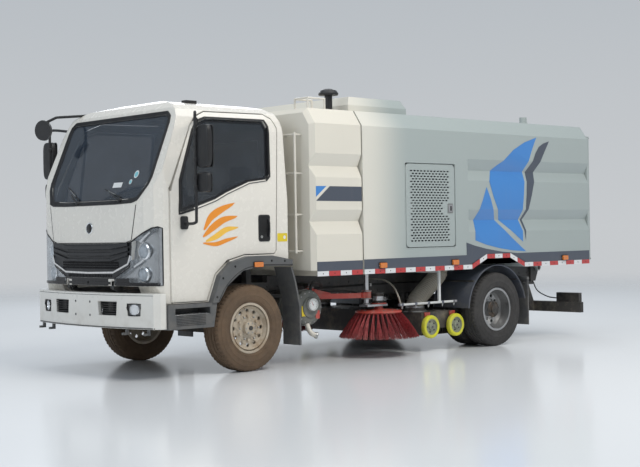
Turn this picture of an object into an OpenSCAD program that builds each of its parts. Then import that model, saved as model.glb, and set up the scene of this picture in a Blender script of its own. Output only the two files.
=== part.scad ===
// Street sweeper truck: tilting cab, side brushes, suction head and tipping debris hopper.
// Millimetres. +X is forward, +Y is the left side, +Z is up. The origin is on the ground,
// at the middle of the overall length and width.

/* [Overall] */
// Distance between the axles
wheelbase = 3360; // [3000:10:3800]
// From the front axle to the bumper's face
front_overhang = 1190; // [1150:10:1300]
// From the rear axle to the rearmost point
rear_overhang = 1730; // [1500:10:2100]
// Width over the body sides
body_w = 2200; // [2150:10:2400]
// Height of the body's roof
roof_z = 2440; // [2250:10:2700]
// Height of the underside of the body sides
skirt_z = 845; // [830:5:900]

/* [Cab] */
// Width of the cab at its waist
cab_w = 1920; // [1880:10:2040]
// Height of the cab's roof
cab_roof_z = 2455; // [2350:5:2600]
// Thickness of the cab's walls and doors
cab_wall = 46; // [40:2:60]
// Gap around the cab doors
door_gap = 8; // [6:1:12]
// Height of the cab's tilting pivot
cab_pivot_z = 800; // [795:1:810]

/* [Body] */
// Length of the front equipment module
module_len = 645; // [550:5:700]
// Gap between the module and the hopper
module_gap = 18; // [12:1:40]
// Wall thickness of the module and the hopper
body_wall = 30; // [25:1:50]
// Roof chamfer, inwards
chamfer_w = 105; // [60:5:160]
// Roof chamfer, downwards
chamfer_h = 150; // [80:5:200]
// Depth of the side grooves
groove_d = 55; // [20:1:70]
// Thickness of the rear door
rear_door_t = 50; // [40:1:80]

/* [Wheels] */
// Outer diameter of a road tyre
tyre_d = 798; // [740:2:820]
// Section width of a road tyre
tyre_w = 235; // [205:5:255]
// Outer diameter of the rim flange
rim_d = 464; // [440:2:480]
// Distance between the front tyre centres
front_track = 1665; // [1640:5:1700]
// Distance between the outer rear tyre centres
rear_track = 1930; // [1900:5:1950]
// Spacing of the twin rear tyres
twin_gap = 270; // [262:1:290]
// Largest steering angle, used for the arch
steer_deg = 35; // [20:1:38]

/* [Brushes] */
// Diameter of a side brush over its bristles
brush_d = 820; // [600:10:900]
// Diameter of a side brush's disc
brush_disc_d = 456; // [300:4:500]
// Distance from the centreline to a side brush's spindle
brush_y = 800; // [780:5:860]
// Distance of the side brush behind the front axle
brush_back = 1800; // [1780:5:1840]
// Height of the stowed bristle tips
brush_z = 185; // [150:1:220]

/* [Suction head] */
// Length of the suction head along the truck
head_len = 500; // [400:5:560]
// Width of the suction head
head_w = 1800; // [1500:10:1840]
// Height of the stowed head's wheels above the ground
head_z = 140; // [100:1:180]
// Diameter of the head's small wheels
castor_d = 240; // [180:2:260]
// Outer diameter of the suction hose
hose_d = 190; // [150:2:220]

/* [Hidden] */
$fn = 48;
front_x = (wheelbase + front_overhang + rear_overhang) / 2;
fa = front_x - front_overhang;
ra = fa - wheelbase;
rear_x = -front_x;
half_w = body_w / 2;
tyre_r = tyre_d / 2;
rim_r = rim_d / 2;
slack = 0.3;
clear = 5;

// Frame
rail_y = 350;
rail_w = 70;
rail_z0 = 600;
rail_z1 = 780;
sill_z = skirt_z - clear;
rail_rear = rear_x + 260;
lug_y = rail_y;

// Hopper, module and tipping pivot
mod_x1 = fa - 645;
mod_x0 = mod_x1 - module_len;
hop_x1 = mod_x0 - module_gap;
hop_x0 = rear_x + 80;
tip_x = rear_x + 240;
tip_z = skirt_z - 50;
tip_r = 40;
groove_x = fa - 2865;
grooves = [[1240, 1363, 1470], [1782, 1890, 2005]];
side_door_x1 = hop_x1 - 600;
side_door_x0 = side_door_x1 - 750;
side_door_z0 = 1087;
side_door_z1 = 1944;
side_door_t = 36;
floor_z = skirt_z + body_wall;
lid_hinge_x = rear_x + 20;
lid_hinge_z = roof_z - 92;

// Cab
cx = function(x) fa + x;
cab_y = cab_w / 2;
cab_back = -450;
cab_floor = 970;
door_axis_x = cx(880);
door_axis_y = cab_y - cab_wall / 2;
door_front = 908;
flare_out = [[500, 655], [406, 893], [272, 1007], [79, 1054], [-198, 1055], [cab_back, 1010]];
flare_in = [[cab_back, 955], [-80, 962], [150, 925], [330, 800], [430, 655]];
door_line = [[door_front, 665], [508, 665], [414, 900], [276, 1016], [80, 1064], [-280, 1065], [-305, 1100],
             [-320, 1570], [-385, 2240], [-345, 2330], [-264, 2372], [428, 2362], [560, 2310], [640, 2215],
             [880, 1710], [door_front, 1665]];
window_line = [[790, 1455], [647, 1491], [400, 1570], [265, 1632], [0, 1730], [-200, 1755], [-238, 1790],
               [-262, 2240], [-235, 2295], [440, 2290], [540, 2255], [600, 2180], [770, 1740]];

// Wheels
front_y = front_track / 2;
rear_y = rear_track / 2;
king_y = 640;
brush_x = fa - brush_back;
swing_x = fa - 1070;
swing_y = 560;
arm_z = 600;
arm_h = 50;
rod_x = brush_x + 170;
rod_r = 25;
head_x1 = fa - 2330;
castor_x = [head_x1 - 80, head_x1 - 470];
castor_y = head_w / 2 + 50;
castor_r = castor_d / 2;
hose_x = head_x1 - 97;
hose_y = 720;
inlet_x = hose_x - 385;

// Tipping rams: fixed pin and travelling eye at rest, and their distance from the centreline
ram_base = [ra - 250, 620];
ram_eye = [tip_x + 620, tip_z + 5];
ram_y = 230;

// ---- Helpers ----
module span(x0, x1, y0, y1, z0, z1) {
    translate([x0, y0, z0])
        cube([x1 - x0, y1 - y0, z1 - z0]);
}

module both() {
    children();
    mirror([0, 1, 0])
        children();
}

// A side outline, in X and Z, extruded from y0 to y1
module side(points, y0, y1) {
    translate([0, y1, 0])
        rotate([90, 0, 0])
            linear_extrude(y1 - y0)
                polygon(points);
}

// A front outline, in Y and Z, extruded from x0 to x1
module front(points, x0, x1) {
    translate([x0, 0, 0])
        rotate([90, 0, 90])
            linear_extrude(x1 - x0)
                polygon(points);
}

module rod_y(x, z, r, y0, y1) {
    translate([x, y1, z])
        rotate([90, 0, 0])
            cylinder(h = y1 - y0, r = r);
}

module rod_z(x, y, r, z0, z1) {
    translate([x, y, z0])
        cylinder(h = z1 - z0, r = r);
}

function mirrored(p) = concat(p, [for (i = [len(p) - 1:-1:0]) [-p[i][0], p[i][1]]]);
function shifted(p) = [for (q = p) [cx(q[0]), q[1]]];

// ---- Chassis ----
module frame_rails() {
    color("dimgray") {
        difference() {
            both()
                union() {
                    span(rail_rear, cx(1010), rail_y, rail_y + rail_w, rail_z0, rail_z1);
                    intersection() {
                        span(cx(1010), cx(1190), rail_y, rail_y + rail_w, rail_z0, 700);
                        translate([0, 0, 400])
                            bumper_plate(bumper_t);
                    }
                    span(rail_rear, mod_x1, rail_y, rail_y + rail_w, rail_z1, sill_z);
                    for (x = [mod_x0 + 60, mod_x1 - 160])
                        span(x, x + 100, rail_y, rail_y + rail_w, sill_z - 1, skirt_z);
                }
            both()
                span(rail_rear + 40, cx(960), rail_y - 1, rail_y + rail_w - 14, rail_z0 + 14, rail_z1 - 14);
        }
        for (x = [cx(1000), cx(-960), cx(-1500), ra + 520, rail_rear + 40])
            span(x - 40, x, -rail_y - rail_w + 10, rail_y + rail_w - 10, rail_z0 + 30, rail_z1 - 30);
        both()
            cab_hinge_lug();
        both()
            tip_lug();
        both()
            swing_post();
        both()
            cab_latch_post();
        ram_lug();
    }
}

module cab_hinge_lug() {
    side([[cx(960), 760], [cx(1055), 760], [cx(1100), cab_pivot_z - 10], [cx(1080), cab_pivot_z + 20],
          [cx(1040), cab_pivot_z], [cx(1000), rail_z1], [cx(960), rail_z1]], lug_y, lug_y + 30);
    rod_y(cx(1080), cab_pivot_z, 25, lug_y, lug_y + 30);
    rod_y(cx(1080), cab_pivot_z, 14, lug_y - 38, lug_y + 30);
}

module tip_lug() {
    side([[rail_rear + 2, rail_z0 + 40], [rail_rear + 90, rail_z0 + 40], [rail_rear + 90, sill_z - 20],
          [tip_x + 20, tip_z + 34], [tip_x - 34, tip_z], [tip_x - 20, tip_z - 60]], rail_y + rail_w, rail_y + rail_w + 30);
    rod_y(tip_x, tip_z, tip_r - 2, rail_y + rail_w, rail_y + rail_w + 30);
    rod_y(tip_x, tip_z, 20, rail_y + rail_w, rail_y + rail_w + 75);
}

module swing_post() {
    span(swing_x - 50, swing_x + 50, rail_y + rail_w, swing_y + 40, 730, 760);
    span(swing_x - 50, swing_x + 50, rail_y + rail_w, swing_y + 40, 500, 530);
    span(swing_x - 50, swing_x + 50, rail_y + rail_w, rail_y + rail_w + 30, 500, 760);
    rod_z(swing_x, swing_y, 22, 530, 730);
}

module cab_latch_post() {
    span(cx(-440), cx(-380), rail_y, rail_y + rail_w, rail_z1, cab_floor - clear);
}

module ram_lug() {
    rod_y(ram_base[0], ram_base[1], 20, -rail_y - rail_w + 12, rail_y + rail_w - 12);
    both()
        rod_y(ram_base[0], ram_base[1], 34, ram_y + 55, rail_y + rail_w - 12);
}

module front_axle() {
    color("darkslategray") {
        span(fa - 45, fa + 45, -king_y + 100, king_y - 100, 330, 400);
        both()
            difference() {
                union() {
                    span(fa - 40, fa + 40, king_y - 102, king_y, 355, 425);
                    rod_z(fa, king_y, 40, 355, 425);
                }
                rod_z(fa, king_y, 15 + slack, 300, 440);
                difference() {
                    span(fa - 60, fa + 60, king_y - 20, king_y + 60, 300, 500);
                    rod_z(fa, king_y, 40, 355, 425);
                }
            }
    }
}

module rear_axle() {
    color("darkslategray") {
        rod_y(ra, tyre_r - 2, 62, -rear_y + 290 + 100, rear_y - 290 - 100);
        rod_y(ra, tyre_r - 2, 44, -rear_y + 20, rear_y - 20);
        translate([ra, 0, tyre_r - 2])
            sphere(r = 150);
        translate([ra + 100, 0, tyre_r - 2])
            rotate([0, 90, 0])
                cylinder(h = 120, r = 60);
    }
}

module leaf_pack(x, z, len, y0, y1) {
    for (i = [0:2])
        side([[x - len / 2 * (1 - i * 0.28), z + 118 - i * 22 - 60 * (1 - i * 0.28) + 30],
              [x, z - i * 22 + 30], [x + len / 2 * (1 - i * 0.28), z + 118 - i * 22 - 60 * (1 - i * 0.28) + 30],
              [x + len / 2 * (1 - i * 0.28), z + 96 - i * 22 - 60 * (1 - i * 0.28) + 30],
              [x, z + 8 - i * 22], [x - len / 2 * (1 - i * 0.28), z + 96 - i * 22 - 60 * (1 - i * 0.28) + 30]], y0, y1);
}

module leaf_springs() {
    color("black")
        both() {
            side([[fa - 620, 560], [fa - 580, 560], [fa - 60, 434], [fa + 60, 434], [fa + 560, 560],
                  [fa + 600, 560], [fa + 600, 600], [fa + 560, 600], [fa + 60, 500], [fa - 60, 500],
                  [fa - 580, 600], [fa - 620, 600]], rail_y, rail_y + rail_w);
            span(fa - 60, fa + 60, rail_y, rail_y + rail_w, 400, 436);
            side([[ra - 620, 560], [ra - 580, 560], [ra - 60, tyre_r + 60], [ra + 60, tyre_r + 60], [ra + 580, 560],
                  [ra + 620, 560], [ra + 620, 600], [ra + 580, 600], [ra + 60, tyre_r + 131], [ra - 60, tyre_r + 131],
                  [ra - 580, 600], [ra - 620, 600]], rail_y, rail_y + rail_w);
        }
}

module engine_block() {
    color("gray") {
        span(cx(-250), cx(560), -290, 290, 470, 890);
        span(cx(-900), cx(-250), -150, 150, 480, 760);
        translate([cx(-900), 0, 560])
            rotate([0, -90, 0])
                cylinder(h = 590, r = 45);
        for (s = [-1, 1])
            span(cx(80), cx(220), s > 0 ? 290 : -rail_y - rail_w + 14, s > 0 ? rail_y + rail_w - 14 : -290, 640, 740);
    }
}

bumper_t = 32;
fog_line = [[790, 668], [620, 668], [630, 560], [780, 560]];
bumper_half = [[980, 990], [1030, 975], [1075, 930], [1150, 555], [1180, 300], [1190, 0]];
module bumper_plate(inset) {
    pts = [for (p = bumper_half) [cx(p[0]) - inset, p[1] - inset * (p[1] > 900 ? 1 : 0)]];
    linear_extrude(400)
        polygon(concat(pts, [for (i = [len(pts) - 1:-1:0]) [pts[i][0], -pts[i][1]]]));
}

module bumper() {
    color("beige")
        difference() {
            translate([0, 0, 447])
                intersection() {
                    bumper_plate(0);
                    span(cx(900), cx(1300), -1000, 1000, 0, 310);
                }
            difference() {
                translate([0, 0, 400])
                    bumper_plate(bumper_t);
                span(cx(900), cx(1300), -1000, 1000, 727, 900);
            }
            span(cx(900), cx(1080), -700, 700, 720, 900);
            span(cx(900), cx(990), -950, 950, 400, 900);
            both()
                front([[500, 682], [240, 682], [250, 560], [490, 560]], cx(1000), cx(1300));
            both()
                front(fog_line, cx(1060), cx(1300));
        }
}

module bumper_lamps() {
    color("dimgray")
        both() {
            intersection() {
                front(fog_line, cx(1060), cx(1160));
                translate([0, 0, 400])
                    difference() {
                        bumper_plate(12);
                        bumper_plate(40);
                    }
            }
            for (n = [[1112, 590], [1062, 845]]) {
                span(cx(n[0]), cx(n[0] + 22), n[1], n[1] + 25, 415, 447);
                span(cx(n[0]), cx(n[0] + 60), n[1], n[1] + 25, 395, 415);
            }
        }
}

module side_tank() {
    color("black") {
        rod_y(cx(-800), 540, 170, 560, 930);
        span(cx(-860), cx(-740), rail_y + rail_w, 562, 640, 700);
        span(cx(-830), cx(-770), rail_y + rail_w, 562, 600, 700);
    }
}

module battery_box() {
    color("dimgray") {
        span(cx(-950), cx(-660), -940, -480, 400, 700);
        span(cx(-860), cx(-760), -482, -rail_y - rail_w, 640, 700);
    }
}

module mudguards() {
    color("dimgray")
        both() {
            side([[cx(-478), 940], [cx(-500), 940], [cx(-545), 800], [cx(-600), 560], [cx(-600), 200],
                  [cx(-580), 200], [cx(-580), 560], [cx(-525), 800]], 720, 960);
            span(cx(-600), cx(-560), rail_y + rail_w, 722, 640, 670);
            span(ra - 530, ra - 515, 560, 1080, 200, 700);
            span(ra - 540, ra - 500, rail_y + rail_w, 1080, 700, 730);
        }
}

module underride_guard() {
    color("dimgray") {
        span(rear_x + 130, rear_x + 190, -1040, 1040, 275, 395);
        both()
            side([[rear_x + 190, 290], [rear_x + 190, 385], [rail_rear + 30, rail_z0],
                  [rail_rear + 110, rail_z0], [rear_x + 240, 290]], rail_y, rail_y + 20);
    }
}

// ---- Body ----
// Outline of the body across the truck, with the roof chamfers; t insets it
function body_pts(t) = mirrored([[half_w - t, skirt_z + t], [half_w - t, roof_z - chamfer_h - t * 0.3],
                                 [half_w - chamfer_w - t * 0.5, roof_z - t]]);

module groove_cut(x0, x1, lead) {
    for (g = grooves)
        translate([0, half_w + 1, 0])
            difference() {
                translate([x0 - 2, 0, 0])
                    rotate([90, 0, 90])
                        linear_extrude(x1 - x0 + 4)
                            polygon([[0, g[0] - 4], [-groove_d, g[1]], [0, g[2] + 4]]);
                if (lead)
                    translate([x1, 0, 0])
                        linear_extrude(3000)
                            polygon([[4, 1], [-2, 1], [-groove_d - 4, -groove_d - 2], [4, -groove_d - 2]]);
            }
}

module front_module() {
    color("antiquewhite")
        difference() {
            union() {
                front(body_pts(0), mod_x0, mod_x1 - 40);
                hull() {
                    front(body_pts(0), mod_x1 - 41, mod_x1 - 40);
                    front(body_pts(45), mod_x1 - 1, mod_x1);
                }
            }
            front(body_pts(body_wall + 40), mod_x0 + body_wall, mod_x1 - body_wall - 30);
            both()
                groove_cut(mod_x0, mod_x1, false);
            span(mod_x1 - 120, mod_x1 + 20, -1200, 1200, 800, 900);
        }
}

module module_ladder() {
    color("silver") {
        for (y = [745, 945])
            rod_z(mod_x1 + 80, y, 12, 1065, 2205);
        for (z = [1085, 1430, 1820, 2185])
            rod_y(mod_x1 + 80, z, 10, 745, 945);
        for (z = [1085, 1430, 1820, 2185])
            for (y = [745, 945])
                translate([mod_x1, y, z])
                    rotate([0, 90, 0])
                        cylinder(h = 80, r = 9);
        rod_y(mod_x1 - 80, roof_z + 100, 10, 780, 960);
        for (y = [780, 960])
            rod_z(mod_x1 - 80, y, 10, roof_z, roof_z + 100);
        for (y = [780, 960])
            translate([mod_x1 - 300, y, roof_z + 100])
                rotate([0, 90, 0])
                    cylinder(h = 220, r = 10);
        for (y = [780, 960])
            rod_z(mod_x1 - 300, y, 10, roof_z, roof_z + 110);
    }
}

stack_x = mod_x1 - 505;
stack_y = 800;
module stack() {
    color("silver") {
        rod_z(stack_x, stack_y, 38, roof_z, roof_z + 175);
        rod_z(stack_x, stack_y, 70, roof_z, roof_z + 14);
        translate([stack_x, stack_y, roof_z + 160])
            rotate_extrude()
                polygon([[0, 0], [95, 0], [100, 18], [80, 46], [40, 62], [0, 66]]);
    }
}

module spray_bars() {
    x0 = head_x1 - 450;
    x1 = head_x1 + 420;
    color("white")
        both() {
            translate([x0, castor_y + 35, 512])
                rotate([0, 90, 0])
                    cylinder(h = x1 - x0, r = 12);
            for (x = [x0 + 40, (x0 + x1) / 2, x1 - 40])
                rod_z(x, castor_y + 35, 9, 480, 508);
            span(head_x1 - 200, head_x1 - 170, castor_y + 25, castor_y + 45, 505, sill_z);
            span(head_x1 - 200, head_x1 - 170, rail_y + rail_w, castor_y + 45, sill_z - 24, sill_z);
        }
}

// Shell of the hopper, open at the rear, with its two side doorways, wheel arches and floor inlets
module hopper_shell() {
    color("cadetblue")
        difference() {
            union() {
                front(body_pts(0), hop_x0, hop_x1);
                both()
                    tip_ear();
                both()
                    lid_ear();
                both()
                    ram_eye_lug();
            }
            difference() {
                front(body_pts(body_wall + 30), hop_x0 - 1, hop_x1 - body_wall);
                span(side_door_x0 - 130, side_door_x0 - 100, -1200, 1200, 800, 2600);
                both()
                    span(ra - 520, ra + 520, 500, 1200, 800, 1050);
            }
            both()
                groove_cut(hop_x0, groove_x, true);
            both()
                span(side_door_x0, side_door_x1, half_w - 100, half_w + 10, side_door_z0, side_door_z1);
            both()
                side([[ra + 445, skirt_z - 1], [ra + 200, 950], [ra - 190, 950], [ra - 440, skirt_z - 1]],
                     540, half_w + 10);
            both()
                rod_z(inlet_x, hose_y, hose_d / 2 - 12, 800, 1051);
        }
    color("cadetblue")
        both()
            rod_z(side_door_x1 - 6 - side_door_t / 2, half_w - side_door_t / 2, 8, side_door_z0 - 1, side_door_z0 + 45);
}

module tip_ear() {
    difference() {
        side([[tip_x - 40, skirt_z + 20], [tip_x - 40, tip_z], [tip_x - 20, tip_z - 34], [tip_x + 20, tip_z - 34],
              [tip_x + 40, tip_z], [tip_x + 120, skirt_z + 20]], rail_y + rail_w + 36, rail_y + rail_w + 66);
        rod_y(tip_x, tip_z, 20 + slack, rail_y + rail_w + 30, rail_y + rail_w + 80);
    }
}

module lid_ear() {
    span(hop_x0 - 40, hop_x0 + 60, 760, 790, roof_z - 100, roof_z - 40);
    side([[hop_x0 - 30, roof_z - 40], [hop_x0 - 30, roof_z - 100], [lid_hinge_x - 13, lid_hinge_z - 8],
          [lid_hinge_x - 13, lid_hinge_z + 14]], 760, 790);
    rod_y(lid_hinge_x, lid_hinge_z, 10, 716, 790);
}

module ram_eye_lug() {
    for (y = [ram_y - 60, ram_y + 60])
        side([[ram_eye[0] - 45, skirt_z + 10], [ram_eye[0] - 30, ram_eye[1] - 26], [ram_eye[0] + 30, ram_eye[1] - 26],
              [ram_eye[0] + 45, skirt_z + 10]], y - 8, y + 8);
}

module hopper_fittings() {
    color("cadetblue") {
        hull() {
            span(hop_x1 - 840, hop_x1 - 10, -900, 900, roof_z, roof_z + 70);
            span(hop_x1 - 790, hop_x1 - 60, -860, 860, roof_z, roof_z + 155);
        }
        both()
            rod_z(ra - 760, 860, 50, roof_z, roof_z + 22);
        both()
            rod_z(ra - 760, 860, 42, roof_z + 22, roof_z + 80);
    }
}

module rear_door() {
    z0 = skirt_z + 40;
    z1 = roof_z - 114;
    color("cadetblue")
        difference() {
            union() {
                span(hop_x0 - rear_door_t, hop_x0 - clear, -half_w + 20, half_w - 20, z0, z1);
                for (y = [-800, -300, 300, 800])
                    span(rear_x, hop_x0 - rear_door_t, y - 30, y + 30, z0 + 60, z1 - 60);
                both()
                    side([[hop_x0 - 46, z1 - 40], [hop_x0 - 12, z1 - 2], [lid_hinge_x + 20, lid_hinge_z + 12],
                          [lid_hinge_x, lid_hinge_z + 22], [lid_hinge_x - 20, lid_hinge_z],
                          [lid_hinge_x - 6, lid_hinge_z - 60]], 722, 752);
            }
            both()
                rod_y(lid_hinge_x, lid_hinge_z, 10 + slack, 700, 760);
        }
}

module side_door_panel() {
    g = 6;
    x0 = side_door_x0 + g;
    x1 = side_door_x1 - g;
    cols = 9;
    rows = 24;
    pitch_x = (x1 - x0 - 160) / (cols - 1);
    pitch_z = (side_door_z1 - side_door_z0 - 150) / (rows - 1);
    difference() {
        union() {
            span(x0, x1 - side_door_t / 2, half_w - side_door_t, half_w, side_door_z0 + g, side_door_z1 - g);
            rod_z(x1 - side_door_t / 2, half_w - side_door_t / 2, side_door_t / 2, side_door_z0 + g, side_door_z1 - g);
        }
        span(x0 + 40, x1 - 60, half_w - side_door_t - 1, half_w - 8, side_door_z0 + 50, side_door_z1 - 50);
        rod_z(x1 - side_door_t / 2, half_w - side_door_t / 2, 8 + slack, side_door_z0, side_door_z0 + 60);
    }
}

module side_door() {
    color("lightslategray")
        side_door_panel();
}

// ---- Ram of the hopper ----
ram_len = norm(ram_eye - ram_base);
ram_ang = atan2(ram_eye[1] - ram_base[1], ram_base[0] - ram_eye[0]);
module along_ram() {
    both()
        translate([ram_base[0], ram_y, ram_base[1]])
            rotate([0, ram_ang, 0])
                rotate([0, -90, 0])
                    children();
}

module ram_barrel() {
    color("dimgray")
        along_ram()
            difference() {
                union() {
                    translate([0, 0, -10])
                        cylinder(h = ram_len - 110, r = 48);
                    rotate([90, 0, 0])
                        cylinder(h = 90, r = 46, center = true);
                }
                rotate([90, 0, 0])
                    cylinder(h = 100, r = 20 + slack, center = true);
                translate([0, 0, 70])
                    cylinder(h = ram_len, r = 30 + slack);
            }
}

module ram_rod() {
    color("silver")
        along_ram() {
            translate([0, 0, 90])
                cylinder(h = ram_len - 100, r = 30);
            translate([0, 0, ram_len])
                rotate([90, 0, 0])
                    cylinder(h = 80, r = 28, center = true);
        }
}

// ---- Wheels ----
module tyre_ring() {
    w = tyre_w / 2;
    half = [[rim_r - 14, w - 34], [rim_r, w - 30], [rim_r, w - 24], [rim_r + 30, w - 6], [rim_r + 70, w],
            [tyre_r - 60, w - 4], [tyre_r - 18, w - 16], [tyre_r - 4, w - 34], [tyre_r, w - 60]];
    rotate_extrude($fn = 96)
        polygon(concat(half, [for (i = [len(half) - 1:-1:0]) [half[i][0], -half[i][1]]]));
}

// A rim: its flange face is at z = +w; the disc is at z = disc
module rim_ring(disc) {
    w = tyre_w / 2 - 22;
    difference() {
        rotate_extrude($fn = 96)
            polygon([[rim_r, -w], [rim_r, -w + 8], [rim_r - 14, -w + 12], [rim_r - 14, w - 12], [rim_r, w - 8],
                     [rim_r, w], [rim_r - 22, w], [rim_r - 24, w - 30], [rim_r - 34, disc + 40],
                     [rim_r - 52, disc + 6], [150, disc], [82, disc + 4], [82, disc - 10], [150, disc - 14],
                     [rim_r - 50, disc - 10], [rim_r - 28, disc - 24], [rim_r - 24, -w]]);
        for (i = [0:11])
            rotate([0, 0, i * 30])
                translate([178 - 20, 0, disc - 60])
                    cylinder(h = 120, r = 18, $fn = 24);
    }
}

module wheel_at(x, y) {
    translate([x, y, tyre_r - 2])
        rotate([-90, 0, 0])
            children();
}

module front_rim() {
    rim_ring(52);
    difference() {
        union() {
            translate([0, 0, -30])
                cylinder(h = 86, r = 82);
            translate([0, 0, 55])
                cylinder(h = 34, r = 60);
            for (i = [0:5])
                rotate([0, 0, i * 60 + 30])
                    translate([111, 0, 50])
                        cylinder(h = 26, r = 15, $fn = 6);
        }
        translate([0, 0, -31])
            cylinder(h = 90, r = 30 + slack);
    }
}

module rear_rims() {
    rim_ring(-52);
    translate([0, 0, -twin_gap])
        rim_ring(30);
    difference() {
        union() {
            translate([0, 0, -twin_gap + 30])
                cylinder(h = twin_gap - 60, r = 90);
            translate([0, 0, -70])
                cylinder(h = 110, r = 82);
            for (i = [0:5])
                rotate([0, 0, i * 60 + 30])
                    translate([111, 0, -54])
                        cylinder(h = 28, r = 15, $fn = 6);
            translate([0, 0, -twin_gap + 30])
                cylinder(h = 60, r = 135);
        }
        translate([0, 0, -twin_gap])
            cylinder(h = twin_gap - 10, r = 44 + slack);
    }
}

module knuckle() {
    h = tyre_r - 2;
    color("dimgray") {
        rod_z(fa, king_y, 34, 430, 470);
        rod_z(fa, king_y, 34, 300, 350);
        rod_z(fa, king_y, 15, 345, 435);
        rod_y(fa, h, 30, king_y + 60, front_y + 10);
        side([[fa - 34, 300], [fa + 34, 300], [fa + 34, 470], [fa - 34, 470]], king_y + 46, king_y + 72);
        span(fa - 34, fa + 34, king_y, king_y + 50, 430, 470);
        span(fa - 34, fa + 34, king_y, king_y + 50, 300, 350);
    }
}

// ---- Cab ----
function cab_side(t) = shifted([[cab_back + t, 955 + t], [-80, 962 + t], [150, 925 + t], [330, 800 + t],
    [460 + t * 0.5, 660 + t], [940 - t * 0.4, 660 + t], [1010 - t, 815 + t * 0.5], [1112 - t, 815 + t],
    [1104 - t, 1210], [1088 - t, 1535], [1064 - t, 1580], [760 - t, 2310], [735 - t, 2385 - t * 0.5],
    [660 - t, 2450 - t], [500, cab_roof_z + 35 - t], [100, cab_roof_z + 30 - t], [-150, cab_roof_z - t], [-340 + t * 0.5, 2432 - t],
    [-420 + t * 0.8, 2370 - t * 0.4], [cab_back + t, 2250]]);
function cab_plan(t) = mirrored_y([[cx(cab_back + t), cab_y - t], [cx(900 - t * 0.2), cab_y - t],
    [cx(960 - t * 0.6), cab_y - 24 - t * 0.9], [cx(1020 - t * 0.8), cab_y - 78 - t * 0.7],
    [cx(1062 - t), cab_y - 170 - t * 0.4], [cx(1090 - t), cab_y - 330], [cx(1106 - t), cab_y - 600],
    [cx(1112 - t), 0]]);
function mirrored_y(p) = concat(p, [for (i = [len(p) - 1:-1:0]) [p[i][0], -p[i][1]]]);
function cab_front(t) = mirrored([[cab_y - 6 - t, 500], [cab_y - t, 1000], [cab_y - t, 1560],
    [cab_y - 52 - t, 2200], [cab_y - 80 - t, 2300], [cab_y - 130 - t, 2372 - t * 0.4],
    [cab_y - 210 - t * 0.8, 2420 - t * 0.8], [cab_y - 320, cab_roof_z - 8 - t], [300, cab_roof_z + 40 - t]]);

module cab_form(t) {
    intersection() {
        side(cab_side(t), -cab_y - 50, cab_y + 50);
        translate([0, 0, 400])
            linear_extrude(2300)
                polygon(cab_plan(t));
        front(cab_front(t), cx(cab_back - 50), cx(1250));
    }
}

// The doorway's outline through the cab wall; below the sill line it is no deeper than the door
module door_cutter() {
    difference() {
        side(shifted(door_line), cab_y - 400, cab_y + 60);
        cab_form(cab_wall);
        span(cx(cab_back), cx(1000), cab_y - 500, cab_y - cab_wall - clear, 500, 1250);
    }
    side(shifted([[door_front, 665], [508, 665], [414, 900], [255, 1012], [255, 1030], [door_front, 1030]]),
         cab_y - cab_wall - clear, cab_y);
}

grille_line = [[640, 1210], [560, 1190], [-560, 1190], [-640, 1210], [-600, 990], [-385, 885], [385, 885], [600, 990]];
lamp_line = [[648, 1212], [880, 1330], [935, 1330], [935, 818], [395, 818], [395, 884], [608, 988]];
screen_line = [[-770, 2320], [770, 2320], [790, 2270], [800, 1760], [690, 1590], [400, 1575], [-400, 1575],
               [-690, 1590], [-800, 1760], [-790, 2270]];
rear_window_line = [[-600, 2150], [600, 2150], [600, 1650], [-600, 1650]];

module cab_shell() {
    color("antiquewhite")
        difference() {
            cab_form(0);
            intersection() {
                cab_form(cab_wall);
                span(cx(-500), cx(1200), -1000, 1000, cab_floor + 40, 2600);
            }
            span(cx(-600), cx(1060), -620, 620, 600, cab_floor);
            both()
                span(cx(970), cx(1130), lug_y - 5, lug_y + 36, 700, 860);
            both()
                door_cutter();
            both()
                span(cx(560), cx(door_front), 740, cab_y - cab_wall, 760, 1100);
            front(screen_line, cx(640), cx(1200));
            front(rear_window_line, cx(-500), cx(-300));
            difference() {
                front(grille_line, cx(1000), cx(1200));
                cab_form(30);
            }
            both()
                front(lamp_line, cx(985), cx(1200));
            both()
                rod_z(door_axis_x, door_axis_y, 8 + slack, 600, 720);
        }
    color("antiquewhite")
        both() {
            difference() {
                side([[cx(1020), 830], [cx(1055), cab_pivot_z - 18], [cx(1080), cab_pivot_z - 22],
                      [cx(1100), cab_pivot_z], [cx(1100), 850], [cx(1072), 880], [cx(1062), 960],
                      [cx(1020), 960]], lug_y - 33, lug_y - 5);
                rod_y(cx(1080), cab_pivot_z, 14 + slack, lug_y - 60, lug_y + 5);
            }
        }
}

module cab_glass() {
    color("skyblue") {
        intersection() {
            difference() {
                cab_form(8);
                cab_form(16);
            }
            front(screen_line, cx(640), cx(1200));
        }
        intersection() {
            difference() {
                cab_form(8);
                cab_form(16);
            }
            front(rear_window_line, cx(-500), cx(-300));
        }
    }
}

module seat(y0, y1) {
    span(cx(-180), cx(330), y0, y1, cab_floor + 40, 1290);
    side([[cx(-180), 1290], [cx(-40), 1290], [cx(-130), 1900], [cx(-230), 1900]], y0, y1);
}

module cab_interior() {
    color("dimgray") {
        seat(cab_y - 660, cab_y - 160);
        seat(160 - cab_y, 710 - cab_y);
        side([[cx(800), 1010], [cx(980), 1010], [cx(980), 1420], [cx(940), 1500],
              [cx(780), 1470], [cx(740), 1400], [cx(810), 1300]], 260 - cab_y, cab_y - 260);
        translate(column_p)
            rotate([0, -column_a, 0])
                difference() {
                    translate([0, 0, -60])
                        cylinder(h = 210, r = 34);
                    translate([0, 0, 90])
                        cylinder(h = 100, r = 12 + slack);
                }
    }
}

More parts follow.
